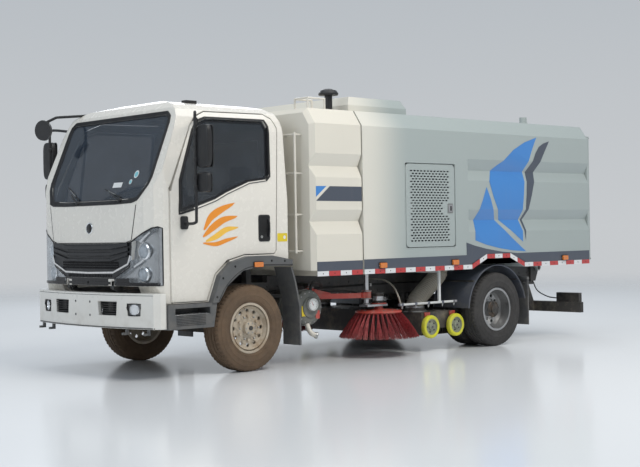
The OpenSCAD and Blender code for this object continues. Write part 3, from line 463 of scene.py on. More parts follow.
def resample(pts, step):
    out = [pts[0]]
    total = sum((b - a).length for a, b in zip(pts, pts[1:]))
    n = max(2, round(total / step))
    want = [total * i / n for i in range(1, n + 1)]
    run, k = 0.0, 0
    for a, b in zip(pts, pts[1:]):
        d = (b - a).length
        while k < len(want) and want[k] <= run + d + 1e-9:
            out.append(a.lerp(b, (want[k] - run) / d))
            k += 1
        run += d
    return out


def curve(pts, n=8):
    """Catmull-Rom points through the given ones."""
    p = [Vector(q) for q in pts]
    p = [p[0] * 2 - p[1]] + p + [p[-1] * 2 - p[-2]]
    out = []
    for i in range(1, len(p) - 2):
        for k in range(n):
            t = k / n
            a, b, c, d = p[i - 1], p[i], p[i + 1], p[i + 2]
            out.append(0.5 * ((2 * b) + (c - a) * t + (2 * a - 5 * b + 4 * c - d) * t * t + (3 * b - a - 3 * c + d) * t ** 3))
    return out + [p[-2]]


def tree(*names):
    v, f = [], []
    for n in names:
        me, k = nodes[n].data, len(v)
        v += [p.co[:] for p in me.vertices]
        f += [tuple(i + k for i in q.vertices) for q in me.polygons]
    return BVHTree.FromPolygons(v, f)


def drop(bvh, u, w, facing, lift):
    """The point of a surface met from the side (u, w are x, z) or from the front (u, w are y, z), lifted along that way."""
    if facing == "front":
        o, d = Vector((5, u, w)), Vector((-1, 0, 0))
    else:
        s = 1 if facing == "left" else -1
        o, d = Vector((u, s * 5, w)), Vector((0, -s, 0))
    hit, normal, _, _ = bvh.ray_cast(o, d)
    return None if hit is None else hit - d * lift


def cut_flat(poly, us, ws):
    """A flat outline, as a mesh in (u, w), cut along the given lines so that it can be folded there."""
    bm = bmesh.new()
    bm.faces.new([bm.verts.new((p[0], p[1], 0)) for p in poly])
    bmesh.ops.triangulate(bm, faces=bm.faces[:])
    for a, way in [(u, (1, 0, 0)) for u in us] + [(w, (0, 1, 0)) for w in ws]:
        co = (a, 0, 0) if way[0] else (0, a, 0)
        bmesh.ops.bisect_plane(bm, geom=bm.verts[:] + bm.edges[:] + bm.faces[:], plane_co=co, plane_no=way)
    bm.verts.ensure_lookup_table()
    bm.verts.index_update()
    v = [(p.co.x, p.co.y) for p in bm.verts]
    f = [tuple(q.index for q in face.verts) for face in bm.faces]
    bm.free()
    return v, f


def on_surface(part, bvh, poly, facing, mat, lift=0.0015, cell=0.06):
    """A decal, seal or trim piece laid on a CAD surface."""
    us = np.arange(min(p[0] for p in poly) + cell, max(p[0] for p in poly), cell)
    ws = np.arange(min(p[1] for p in poly) + cell, max(p[1] for p in poly), cell)
    v, f = cut_flat(poly, us, ws)
    pts = [drop(bvh, u, w, facing, lift) for u, w in v]
    known = [p for p in pts if p is not None]
    if not known:
        return
    part.add([p if p is not None else known[0] for p in pts],
        [q for q in f if all(pts[i] is not None for i in q)], mat)


def strip_on(part, bvh, path, width, facing, mat, lift=0.002, step=0.04, closed=False, high=0.004):
    """A raised band along a path on a CAD surface: a seal, seam or trim line."""
    p = [Vector((a, b)) for a, b in path]
    if closed:
        p.append(p[0])
    corners = [Vector((a[0], a[1], 0)) for a in p]
    q = sorted_path(corners, step)
    rows = []
    for i, c in enumerate(q):
        a = q[i - 1] if i else (q[-2] if closed else c)
        b = q[i + 1] if i + 1 < len(q) else (q[1] if closed else c)
        t = b - a
        n = Vector((-t.y, t.x, 0)).normalized() * width / 2
        rows.append([drop(bvh, c.x + n.x * s, c.y + n.y * s, facing, h)
                     for s, h in ((-1, lift - 0.006), (-0.8, lift + high), (0.8, lift + high),
                         (1, lift - 0.006))])
    v, f, ok = [], [], []
    for r in rows:
        good = all(x is not None for x in r)
        ok.append(good)
        v += r if good else [Vector((0, 0, 0))] * 4
    for i in range(len(rows) - 1):
        if ok[i] and ok[i + 1]:
            for k in range(3):
                f.append((i * 4 + k, i * 4 + k + 1, i * 4 + k + 5, i * 4 + k + 4))
    used = sorted({i for q in f for i in q})
    where = {i: k for k, i in enumerate(used)}
    part.add([v[i] for i in used], [tuple(where[i] for i in q) for q in f], mat)


def sorted_path(corners, step):
    out = []
    for a, b in zip(corners, corners[1:]):
        n = max(1, round((b - a).length / step))
        out += [a.lerp(b, i / n) for i in range(n)]
    return out + [corners[-1]]


M["lamp_bowl"] = metal("lamp_bowl", (0.50, 0.52, 0.54), 0.22, scale=30, grime=0.15)
M["lamp_ball"] = glass("lamp_ball", (0.32, 0.36, 0.40), 0.75, 0.02)


# ---------------------------------------------------------------- where things are
def mid(name):
    lo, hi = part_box(name)
    return (Vector(lo) + Vector(hi)) / 2


FA, RA = mid("tyre_front_left").x, mid("tyres_rear_left").x
AXLE_Z = mid("tyre_front_left").z
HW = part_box("front_module")[1].y
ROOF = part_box("front_module")[1].z
MOD0, MOD1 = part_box("front_module")[0].x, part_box("front_module")[1].x
HOP1 = MOD0 - 0.018
HOP0 = -3.06
SKIRT = 0.845
SIDES = ((1, "left"), (-1, "right"))
GROOVE_X = FA - 2.865
GROOVES = ((1.240, 1.363, 1.470), (1.782, 1.890, 2.005))
CREASES = [z for g in GROOVES for z in g] + [ROOF - 0.15]


def body_y(x, z, module):
    """Half width of the body's side at a point: its grooves and the roof chamfer."""
    depth = 0.0
    for a, b, c in GROOVES:
        if a - 0.004 < z <= b:
            depth = 0.055 * (z - a + 0.004) / (b - a + 0.004)
        elif b < z < c + 0.004:
            depth = 0.055 * (c + 0.004 - z) / (c - b + 0.004)
    if not module:
        depth = min(depth, max(0.0, GROOVE_X - x))
    y = HW - depth
    if z > ROOF - 0.15:
        y = HW - 0.105 * (z - ROOF + 0.15) / 0.15
    return y


def body_decal(part, poly, s, mat, module=False, lift=0.0015):
    v, f = cut_flat(poly, [GROOVE_X] if not module else [], CREASES)
    part.add([(x, s * (body_y(x, z, module) + lift), z) for x, z in v], f, mat, False)


# ---------------------------------------------------------------- carried-over CAD pieces
give("frame", "frame_rails", "underride_guard", "suction_head", "ram_barrel")
give("cast", "front_axle", "rear_axle", "leaf_springs", "engine_block", "knuckle_left", "knuckle_right")
give("bumper", "bumper")
give("black", "battery_box", "mirrors_left", "mirrors_right", "steering_wheel", "side_tank")
give("grey", "mudguards", "cab_steps", "bumper_lamps")
give("module", "front_module")
give("cream_tube", "module_ladder")
give("steel", "ram_rod", "brush_slide_left", "brush_slide_right")
give("white", "spray_bars")
give("cab", "cab_shell")
give("door", "door_left", "door_right")
give("screen", "cab_glass")
give("glass", "glass_left", "glass_right")
give("black", "cab_fittings", "stack")
give("louvre", "grille")
give("rim", "rim_front_left", "rim_front_right")
give("rim_rear", "rims_rear_left", "rims_rear_right")
give("hopper", "hopper_shell", "hopper_fittings")
give("hopper_rear", "rear_door")
give("red", "brush_arm_left", "brush_arm_right")

# ---------------------------------------------------------------- tyres
HALF_TYRE = [(0.219, 0.0835), (0.232, 0.0875), (0.233, 0.0935), (0.244, 0.103), (0.252, 0.108),
    (0.2545, 0.1105),
             (0.257, 0.1085), (0.275, 0.1135), (0.298, 0.1162), (0.301, 0.1174), (0.304, 0.1162),
             (0.325, 0.1155),
             (0.343, 0.1130), (0.346, 0.1145), (0.349, 0.1115), (0.368, 0.1065), (0.381, 0.1015),
             (0.389, 0.094),
             (0.3935, 0.086), (0.3955, 0.078), (0.3965, 0.066), (0.3885, 0.0635), (0.3885, 0.0575),
             (0.3972, 0.055),
             (0.3984, 0.030), (0.3900, 0.0275), (0.3900, 0.0215), (0.3988, 0.019)]


def tyre(part, y, mat, segs=180):
    prof = HALF_TYRE + [(r, -h) for r, h in reversed(HALF_TYRE)]
    n = len(prof)
    v = []
    for i in range(segs):
        t = 2 * math.pi * i / segs
        for r, h in prof:
            if r > 0.380 and 0.06 < abs(h) < 0.1 and i % 3 == 0:
                r -= 0.0075
            if 0.029 < abs(h) < 0.056 and i % 6 == 0:
                r -= 0.004
            v.append((part.x + r * math.sin(t), y + h, AXLE_Z + r * math.cos(t)))
    f = [(i * n + k, ((i + 1) % segs) * n + k, ((i + 1) % segs) * n + (k + 1) % n, i * n + (k + 1) % n)
         for i in range(segs) for k in range(n)]
    part.add(v, f, mat)


def half_step(name):
    lo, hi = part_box(name)
    return (lo.y + hi.y) / 2, hi.y - lo.y


for s, side in SIDES:
    p = Part(f"tyre_front_{side}_tread", f"wheel_front_{side}", "tyre", f"tyre_front_{side}")
    p.x = FA
    tyre(p, half_step(f"tyre_front_{side}")[0], "tyre_front")
    p.done(angle=24)
    p = Part(f"tyres_rear_{side}_tread", f"wheels_rear_{side}", "tyre", f"tyres_rear_{side}")
    p.x = RA
    lo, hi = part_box(f"tyres_rear_{side}")
    for y in (lo.y + 0.1175, hi.y - 0.1175):
        tyre(p, y, "tyre_rear")
    p.done(angle=24)
    # valve stems, hub rings and wheel studs
    p = Part(f"hub_trim_front_{side}", f"wheel_front_{side}", "rim_paint")
    yf = abs(half_step(f"tyre_front_{side}")[0])
    out = Vector((0, s, 0))

    def at_hub(r, a, h, x=FA, base=yf):
        return Vector((x + r * math.sin(a), s * (base + h), AXLE_Z + r * math.cos(a)))

    p.lathe([(0.060, 0.0), (0.060, 0.004), (0.052, 0.010), (0.030, 0.013), (0.0, 0.014)],
            (FA, s * (yf + 0.089), AXLE_Z), out, "rim", 40)
    p.lathe([(0.0225, 0.0), (0.0225, 0.013), (0.019, 0.016), (0, 0.016)], (FA, s * (yf + 0.099), AXLE_Z), out,
        "cast", 6)
    for k in range(6):
        a = math.radians(k * 60)
        p.bolt(at_hub(0.046, a + 0.5, 0.098), out, 0.0065)
        q = at_hub(0.111, math.radians(k * 60 + 30), 0.074)
        p.lathe([(0.021, 0), (0.021, 0.004), (0.015, 0.006)], q - out * 0.022, out, "rim", 20)
        p.lathe([(0.0085, 0), (0.0085, 0.014), (0.006, 0.016), (0, 0.016)], q, out, "bolt", 12)
    p.lathe([(0.148, 0.0), (0.1505, 0.0022), (0.153, 0.0)], (FA, s * (yf + 0.0515), AXLE_Z), out, "rim", 72)
    p.tube([at_hub(0.196, 0.26, 0.050), at_hub(0.188, 0.26, 0.078), at_hub(0.170, 0.26, 0.094)], 0.0045,
        "bolt", 8)
    p.done()
    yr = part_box(f"tyres_rear_{side}")
    yr = (yr[1].y if s > 0 else -yr[0].y) - 0.1175
    p = Part(f"hub_trim_rear_{side}", f"wheels_rear_{side}", "rim_paint")
    p.lathe([(0.090, 0), (0.090, 0.006), (0.074, 0.014), (0.060, 0.016), (0.056, 0.034), (0.030, 0.040),
        (0, 0.041)],
            (RA, s * (yr + 0.039), AXLE_Z), out, "cast", 48)
    for k in range(8):
        a = math.radians(k * 45 + 10)
        p.bolt(at_hub(0.072, a, 0.053, RA, yr), out, 0.008, "cast")
    for k in range(6):
        q = at_hub(0.111, math.radians(k * 60 + 30), -0.027, RA, yr)
        p.lathe([(0.0085, 0), (0.0085, 0.016), (0.006, 0.018), (0, 0.018)], q, out, "bolt", 12)
    p.lathe([(0.120, 0.0), (0.122, 0.004), (0.138, 0.004), (0.140, 0)], (RA, s * (yr - 0.050), AXLE_Z), out,
        "rim_rear", 64)
    p.tube([at_hub(0.190, 0.1, -0.045, RA, yr), at_hub(0.172, 0.1, -0.01, RA, yr),
        at_hub(0.165, 0.1, 0.03, RA, yr)],
           0.0045, "bolt", 8)
    p.done()

# ---------------------------------------------------------------- body graphics
SAIL_TOP = [(-2.091, 2.275), (-1.880, 2.215), (-1.686, 2.126), (-1.515, 2.003), (-1.430, 1.955),
    (-1.351, 1.900),
            (-1.267, 1.775), (-1.338, 1.602), (-1.405, 1.474), (-1.472, 1.361), (-1.640, 1.236),
            (-1.830, 1.119),
            (-1.830, 1.242), (-1.811, 1.359), (-1.834, 1.474), (-1.856, 1.630), (-1.874, 1.784),
            (-1.898, 1.895),
            (-1.953, 2.014), (-2.015, 2.140)]
SAIL_LOW = [(-1.219, 1.715), (-1.161, 1.586), (-1.100, 1.474), (-1.054, 1.364), (-1.026, 1.239),
    (-1.023, 1.147),
            (-1.200, 1.098), (-1.418, 1.057), (-1.640, 1.028), (-1.877, 1.013), (-1.700, 1.125),
            (-1.541, 1.230),
            (-1.407, 1.357), (-1.329, 1.474), (-1.289, 1.587)]
SAIL_DARK = [(-2.324, 2.242), (-2.220, 2.215), (-2.135, 2.173), (-2.075, 2.100), (-2.028, 2.016),
    (-1.945, 1.889),
             (-1.912, 1.785), (-1.905, 1.630), (-1.889, 1.482), (-1.842, 1.359), (-1.858, 1.234),
             (-1.880, 1.132),
             (-1.889, 1.250), (-1.879, 1.359), (-1.939, 1.482), (-2.000, 1.640), (-2.047, 1.787),
             (-2.095, 1.891),
             (-2.169, 2.019), (-2.245, 2.130)]
SLATE = [(HOP1, 0.988), (-0.879, 0.994), (-0.876, 1.127), (-1.010, 1.092), (-1.205, 1.054), (-1.460, 1.018),
         (-1.729, 0.997), (HOP0, 0.998), (HOP0, 0.890), (-1.885, 0.890), (-1.610, 1.000), (-1.200, 1.000),
         (-0.930, 0.890), (HOP1, 0.890)]
EDGE = [(HOP1, SKIRT), (RA + 0.445, SKIRT), (RA + 0.200, 0.950), (RA - 0.190, 0.950), (RA - 0.440, SKIRT),
    (HOP0, SKIRT)]


def tape(part, path, s, module, first_white=True, block=0.149, w=0.047):
    """Red and white blocks along the body's lower edge, mitred where it turns over the wheel."""
    pts = [Vector((x, z, 0)) for x, z in path]
    white = first_white
    for a, b in zip(pts, pts[1:]):
        n = max(1, round((b - a).length / block))
        for i in range(n):
            p, q = a.lerp(b, i / n), a.lerp(b, (i + 1) / n)
            up = Vector((0, 1, 0)) if abs((b - a).y) < 1e-4 else Vector((-(b - a).y, (b - a).x,
                0)).normalized() * -1
            up = Vector((0, 1, 0)) * w / max(0.3, abs((b - a).normalized().x))
            g = (q - p) * 0.012
            quad = [p + g, q - g, q - g + up, p + g + up]
            part.add([(c.x, s * (body_y(c.x, c.y, module) + 0.0025), c.y) for c in quad], [(0, 1, 2, 3)],
                     "white_tape" if white else "red_tape", False)
            m = (p + q) / 2 + up * 0.5
            part.lathe([(0.006, 0.0012), (0, 0.0012)], (m.x, s * (HW + 0.0022), m.y), (0, s, 0), "dark", 10)
            white = not white
    return white


for s, side in SIDES:
    p = Part(f"hopper_graphics_{side}", "hopper", "body_paint")
    body_decal(p, SLATE, s, "slate")
    for poly, mat in ((SAIL_TOP, "blue"), (SAIL_LOW, "blue"), (SAIL_DARK, "slate")):
        body_decal(p, poly, s, mat, lift=0.0022)
    tape(p, EDGE, s, False)
    p.done()
    p = Part(f"module_graphics_{side}", "chassis", "module_paint")
    x1 = MOD1 - 0.040
    body_decal(p, [(MOD0, 0.982), (x1, 0.982), (x1, 0.846), (MOD0, 0.846)], s, "slate", True)
    body_decal(p, [(x1, 1.695), (1.129, 1.697), (x1, 1.593)], s, "blue", True)
    body_decal(p, [(x1, 1.556), (1.086, 1.696), (MOD0, 1.695), (MOD0, 1.554)], s, "slate", True)
    tape(p, [(x1, SKIRT), (MOD0, SKIRT)], s, True)
    p.done()

# ---------------------------------------------------------------- side doors of the hopper, with a perforated sheet
DOOR_X0, DOOR_X1, DOOR_Z0, DOOR_Z1, DOOR_T = HOP1 - 1.350, HOP1 - 0.600, 1.087, 1.944, 0.036


def rounded(x0, x1, z0, z1, r, n=5):
    out = []
    for cx, cz, a0 in ((x1 - r, z1 - r, 0), (x0 + r, z1 - r, 90), (x0 + r, z0 + r, 180),
        (x1 - r, z0 + r, 270)):
        out += [(cx + r * math.cos(math.radians(a0 + 90 * i / n)),
            cz + r * math.sin(math.radians(a0 + 90 * i / n)))
                for i in range(n + 1)]
    return out


def slotted(part, x0, x1, z0, z1, y, s, cols, rows, mat, skip=None, depth=0.006):
    """A sheet with staggered slots cut right through it."""
    w, h = (x1 - x0) / cols, (z1 - z0) / rows
    for j in range(rows):
        shift = 0.5 if j % 2 else 0.0
        za, zb = z0 + j * h, z0 + (j + 1) * h
        edges = [x0] + [x0 + (i + shift) * w for i in range(cols + 1) if x0 + 1e-6 < x0 + (i + shift) * w < x1 - 1e-6] + [x1]
        for a, b in zip(edges, edges[1:]):
            cx, cz = (a + b) / 2, (za + zb) / 2
            outer = [(b, zb), (cx, zb), (a, zb), (a, cz), (a, za), (cx, za), (b, za), (b, cz)]
            if b - a < w * 0.8 or (skip and skip(cx, cz)):
                part.add([(px, s * y, pz) for px, pz in ((a, za), (b, za), (b, zb), (a, zb))], [(0, 1, 2, 3)],
                    mat, False)
                continue
            iw, ih = w * 0.36, h * 0.25
            inner = [(cx + iw * 0.8, cz + ih), (cx, cz + ih), (cx - iw * 0.8, cz + ih), (cx - iw, cz),
                (cx - iw * 0.8, cz - ih),
                     (cx, cz - ih), (cx + iw * 0.8, cz - ih), (cx + iw, cz)]
            v = [(px, s * y, pz) for px, pz in outer + inner] + [(px, s * (y - depth), pz) for px,
                pz in inner]
            f = []
            for i in range(8):
                k = (i + 1) % 8
                f += [(i, k, 8 + k, 8 + i), (8 + i, 8 + k, 16 + k, 16 + i)]
            part.add(v, f, mat, False)


for s, side in SIDES:
    p = Part(f"side_door_{side}_sheet", f"side_door_{side}", "body_paint", f"side_door_{side}")
    g, y = 0.006, HW - 0.001
    x0, x1, z0, z1 = DOOR_X0 + g, DOOR_X1 - g, DOOR_Z0 + g, DOOR_Z1 - g
    hx0, hx1, hz0, hz1 = x0 + 0.075, x1 - 0.062, z0 + 0.050, z1 - 0.058
    outer = rounded(x0, x1, z0, z1, 0.045, 6)
    inner = [(min(max(a, hx0), hx1), min(max(b, hz0), hz1)) for a, b in outer]
    n = len(outer)
    v = [(a, s * (y + 0.0), b) for a, b in outer] + [(a, s * (y - 0.002), b) for a, b in inner]
    v += [(a, s * (y - DOOR_T + 0.002), b) for a, b in outer] + [(a, s * (y - 0.012), b) for a, b in inner]
    f = []
    for i in range(n):
        k = (i + 1) % n
        f += [(i, k, n + k, n + i), (i, 2 * n + i, 2 * n + k, k),
            (2 * n + i, 3 * n + i, 3 * n + k, 2 * n + k)]
    p.add(v, f, "hopper", False)
    slotted(p, hx0, hx1, hz0, hz1, y - 0.0015, s, 12, 27, "hopper",
            lambda cx, cz: cx < hx0 + 0.125 and abs(cz - (z0 + z1) / 2 + 0.03) < 0.062)
    # lock with its escutcheon, and hinge knuckles
    lz = (z0 + z1) / 2 - 0.030
    p.slab([(a, s * (y - 0.001), b) for a,
        b in rounded(x0 + 0.028, x0 + 0.110, lz - 0.050, lz + 0.050, 0.010)],
           (0, s * 0.002, 0), "bolt")
    p.slab([(a, s * (y + 0.000), b) for a,
        b in rounded(x0 + 0.040, x0 + 0.098, lz - 0.036, lz + 0.036, 0.008)],
           (0, s * 0.0025, 0), "steel")
    p.slab([(a, s * (y + 0.001), b) for a,
        b in rounded(x0 + 0.052, x0 + 0.070, lz - 0.026, lz + 0.026, 0.006)],
           (0, s * 0.0035, 0), "dark")
    for hz in (z0 + 0.12, (z0 + z1) / 2, z1 - 0.12):
        p.lathe([(0.017, -0.035), (0.0175, -0.03), (0.0175, 0.03), (0.017, 0.035), (0.006, 0.037),
            (0, 0.037)],
                (x1 - 0.018, s * (HW - 0.018), hz), (0, 0, 1), "hopper", 16)
    p.done(angle=30)

# the doorway's raised frame and the side marker lamps
for s, side in SIDES:
    p = Part(f"hopper_side_trim_{side}", "hopper", "body_paint")
    ring = rounded(DOOR_X0 - 0.004, DOOR_X1 + 0.004, DOOR_Z0 - 0.004, DOOR_Z1 + 0.004, 0.02)
    wide = rounded(DOOR_X0 - 0.016, DOOR_X1 + 0.016, DOOR_Z0 - 0.016, DOOR_Z1 + 0.016, 0.03)
    n = len(ring)
    v = [(a, s * (HW + 0.0035), b) for a, b in ring] + [(a, s * (HW + 0.0005), b) for a, b in wide]
    v += [(a, s * (HW - 0.020), b) for a, b in ring]
    p.add(v, [q for i in range(n) for q in ((i, (i + 1) % n, n + (i + 1) % n, n + i),
                                            (i, 2 * n + i, 2 * n + (i + 1) % n, (i + 1) % n))], "hopper")
    for x in (0.389, -0.687, -2.577):        # side marker lamps
        p.slab([(a, s * (HW + 0.001), b) for a, b in rounded(x - 0.055, x + 0.055, 0.893, 0.957, 0.008)],
            (0, s * 0.006, 0), "black")
        p.slab([(a, s * (HW + 0.006), b) for a, b in rounded(x - 0.046, x + 0.046, 0.900, 0.950, 0.010)],
            (0, s * 0.018, 0), "amber_lens")
        for dx in (-0.050, 0.050):
            p.bolt((x + dx * 1.0, s * (HW + 0.007), 0.925), (0, s, 0), 0.003)
    p.done(bevel=0.0015, angle=35)

# the fan and its housing, seen through the perforated sheet; the housing's back is a near-black sheet that paints the
# shade inside it
p = Part("fan_and_housing", "hopper", "frame_paint")
cx, cz = (DOOR_X0 + DOOR_X1) / 2, (DOOR_Z0 + DOOR_Z1) / 2
for s in (1, -1):
    # near-black back sheet: painted shade inside the housing
    p.box((DOOR_X0 - 0.02, min(s * 0.80, s * 0.81), DOOR_Z0 - 0.02),
        (DOOR_X1 + 0.02, max(s * 0.80, s * 0.81), DOOR_Z1 + 0.02), "dark")
    p.lathe([(0.30, 0.0), (0.30, 0.05), (0.28, 0.06), (0.26, 0.02), (0.0, 0.02)], (cx, s * 0.812, cz),
        (0, s, 0), "frame", 48)
    for k in range(10):
        a = math.radians(36 * k)
        u, w = Vector((math.cos(a), 0, math.sin(a))), Vector((-math.sin(a), 0, math.cos(a)))
        c = Vector((cx, s * 0.835, cz))
        p.add([c + u * 0.07, c + u * 0.25 + w * 0.05, c + u * 0.25 + w * 0.05 + Vector((0, s * 0.03, 0)),
            c + u * 0.07 + Vector((0, s * 0.03, 0))],
              [(0, 1, 2, 3)], "steel", False)
    p.lathe([(0.08, 0), (0.08, 0.05), (0.05, 0.06), (0, 0.06)], (cx, s * 0.822, cz), (0, s, 0), "bolt", 24)
p.done()

# ---------------------------------------------------------------- cab front
front = tree("cab_shell", "cab_glass", "grille", "headlamps", "door_left", "door_right")
p = Part("cab_front_trim", "cab", "cab_paint")
SCREEN = [(-0.735, 2.335), (0.735, 2.335), (0.785, 2.300), (0.798, 2.240), (0.806, 1.770), (0.790, 1.710),
    (0.700, 1.582),
          (0.640, 1.566), (0.400, 1.558), (-0.400, 1.558), (-0.640, 1.566), (-0.700, 1.582), (-0.790, 1.710),
          (-0.806, 1.770), (-0.798, 2.240), (-0.785, 2.300)]
strip_on(p, front, SCREEN, 0.050, "front", "rubber", closed=True, high=0.005)
# hood seams, and the line under the windscreen
for s in (1, -1):
    strip_on(p, front, [(s * 0.706, 1.560), (s * 0.690, 1.470), (s * 0.640, 1.222)], 0.011, "front", "rubber",
        lift=0.0, high=0.0008)
strip_on(p, front, [(-0.64, 1.217), (-0.56, 1.196), (0.56, 1.196), (0.64, 1.217)], 0.010, "front", "rubber",
    lift=0.0, high=0.001)
# round badge: a plain ring and dome
c = drop(front, 0.0, 1.330, "front", 0)
for prof, mat in (([(0.052, -0.004), (0.052, 0.006), (0.048, 0.010), (0.043, 0.008), (0.043, -0.002)],
    "chrome"),
                  ([(0.043, 0.003), (0.034, 0.0065), (0.030, 0.0065), (0.026, 0.009), (0.0, 0.012)],
                      "gloss_black")):
    p.lathe(prof, c, (1, 0, 0.03), mat, 40)
# washer jets
for y in (-0.28, 0.28):
    q = drop(front, y, 1.548, "front", 0.0)
    p.lathe([(0.014, 0), (0.013, 0.006), (0.006, 0.011), (0, 0.012)], q, (1, 0, 0.4), "black", 14)
# stickers without print: two round ones and a label inside the screen's corner
for y, z, r, mat in ((0.560, 1.800, 0.034, "sticker_aqua"), (0.505, 1.735, 0.022, "sticker_aqua")):
    q = drop(front, y, z, "front", 0.0015)
    ring = [(y + r * math.cos(t), z + r * math.sin(t)) for t in (2 * math.pi * k / 24 for k in range(24))]
    on_surface(p, front, ring, "front", "sticker_white", 0.0012, 0.03)
    on_surface(p, front, [(y + (a - y) * 0.72, z + (b - z) * 0.72) for a, b in ring], "front", mat, 0.002,
        0.03)
on_surface(p, front, [(0.245, 1.690), (0.385, 1.690), (0.385, 1.735), (0.245, 1.735)], "front",
    "sticker_white", 0.0012)
p.done()

# wipers
p = Part("wipers", "cab", "black_plastic")
for y0, z0, y1, z1 in ((-0.220, 1.562, -0.520, 1.705), (0.455, 1.575, 0.115, 1.668)):
    a, b = drop(front, y0, z0, "front", 0.012), drop(front, (y0 + y1) / 2, (z0 + z1) / 2 + 0.01, "front",
        0.022)
    p.lathe([(0.020, -0.02), (0.020, 0.006), (0.016, 0.012), (0, 0.013)], a, (1, 0, 0.3), "black", 20)
    p.tube([a, a.lerp(b, 0.5) + Vector((0.008, 0, 0)), b], 0.007, "black", 8)
    blade = [drop(front, y0 + (y1 - y0) * t + 0.03, z0 + (z1 - z0) * t + 0.012, "front",
        0.010) for t in np.linspace(0.12, 1.0, 12)]
    p.tube(blade, 0.0055, "black", 6)
    p.tube([q + Vector((0.008, 0, 0.004)) for q in blade[3:9]], 0.004, "bolt", 6)
p.done()

# grille: dark mesh, curved blades and the bright line below
p = Part("grille_blades", "cab", "grey_plastic")
def wing(z_mid, z_tip, y_tip, y_bend=0.36):
    return [(-y_tip, z_tip), (-y_bend, z_mid), (0, z_mid - 0.004), (y_bend, z_mid), (y_tip, z_tip)]


for z_mid, z_tip, y_tip, w, mat in ((1.158, 1.186, 0.605, 0.040, "louvre"),
    (1.098, 1.140, 0.610, 0.032, "louvre"),
                                    (1.045, 1.098, 0.606, 0.026, "louvre")):
    strip_on(p, front, wing(z_mid, z_tip, y_tip), w, "front", mat, lift=0.004, high=0.014, step=0.03)
for k in range(65):
    y = -0.448 + 0.014 * k
    strip_on(p, front, [(y, 1.030), (y, 0.966)], 0.0055, "front", "gloss_black", lift=0.001, high=0.005,
        step=0.03)
for z in (0.987, 1.009):
    strip_on(p, front, [(-0.46, z), (0.46, z)], 0.005, "front", "louvre", lift=0.002, high=0.007, step=0.05)
strip_on(p, front, [(-0.636, 1.085), (-0.600, 1.010), (-0.390, 0.935), (0, 0.928), (0.390, 0.935),
    (0.600, 1.010), (0.636, 1.085)],
         0.020, "front", "chrome", lift=0.003, high=0.010, step=0.03)
for k in range(29):
    y = -0.350 + 0.025 * k
    strip_on(p, front, [(y, 0.915), (y, 0.890)], 0.008, "front", "gloss_black", lift=0.001, high=0.005,
        step=0.02)
p.done()

# headlamps: reflector bowl, two round lamps, light strip and a clear cover
LAMP = [(0.640, 1.206), (0.700, 1.238), (0.780, 1.279), (0.868, 1.322), (0.905, 1.330), (0.930, 1.318),
    (0.930, 0.824),
        (0.400, 0.824), (0.400, 0.888), (0.500, 0.932), (0.612, 0.986), (0.622, 1.080)]
for s, side in SIDES:
    p = Part(f"headlamp_{side}_inner", "cab", "lamp")
    v, f = cut_flat([(s * y, z) for y, z in LAMP], [s * u for u in np.arange(0.45, 0.93, 0.05)],
        np.arange(0.87, 1.33, 0.05))
    skin = [drop(front, u, w, "front", 0.0) for u, w in v]
    bowl = [Vector((max(2.940, q.x - 0.055), q.y, q.z)) for q in skin]
    p.add(bowl, f, "lamp_bowl", False)
    edge = [drop(front, s * y, z, "front", 0.001) for y, z in LAMP]
    n = len(edge)
    p.add(edge + [Vector((max(2.940, q.x - 0.055), q.y, q.z)) for q in edge],
          [(i, (i + 1) % n, n + (i + 1) % n, n + i) for i in range(n)], "lamp_bowl", False)
    for y, z, r in ((0.742, 1.120, 0.062), (0.735, 0.915, 0.058)):
        q = drop(front, s * y, z, "front", 0.0)
        q.x = max(2.945, q.x - 0.050)
        p.lathe([(r * 1.25, 0), (r * 1.22, 0.012), (r, 0.018), (r * 0.92, 0.010), (r * 0.90, 0.0)], q,
            (1, s * 0.12, 0), "chrome", 40)
        p.lathe([(r * 0.90, 0.004), (r * 0.72, 0.020), (r * 0.40, 0.030), (0, 0.034)], q, (1, s * 0.12, 0),
            "lamp_ball", 32)
    for z0, z1 in ((1.205, 1.285), (0.985, 1.040)):
        pts = [drop(front, s * (0.640 + (z0 - 1.0) * 0.35 + k * 0.012), z0 + (z1 - z0) * k / 9, "front",
            -0.03) for k in range(10)]
        p.tube([q for q in pts if q is not None], 0.009, "white_lens", 8)
    p.box((2.945, min(s * 0.46, s * 0.60), 0.845), (2.985, max(s * 0.46, s * 0.60), 0.905), "amber_lens")
    p.done()
    p = Part(f"headlamp_{side}_cover", "cab", "lamp")
    p.add([q + Vector((0.001, 0, 0)) for q in skin], f, "clear")
    p.done(angle=20)
    p = Part(f"headlamp_{side}_rim", "cab", "grey_plastic")
    strip_on(p, front, [(s * y, z) for y, z in LAMP], 0.012, "front", "gloss_black", closed=True, high=0.003,
        step=0.03)
    # dark strip below the lamps and grille
    strip_on(p, front, [(s * 0.02, 0.842), (s * 0.70, 0.835), (s * 0.90, 0.832)], 0.026, "front",
        "gloss_black", lift=0.002, high=0.006)
    p.done()
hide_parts("headlamps")

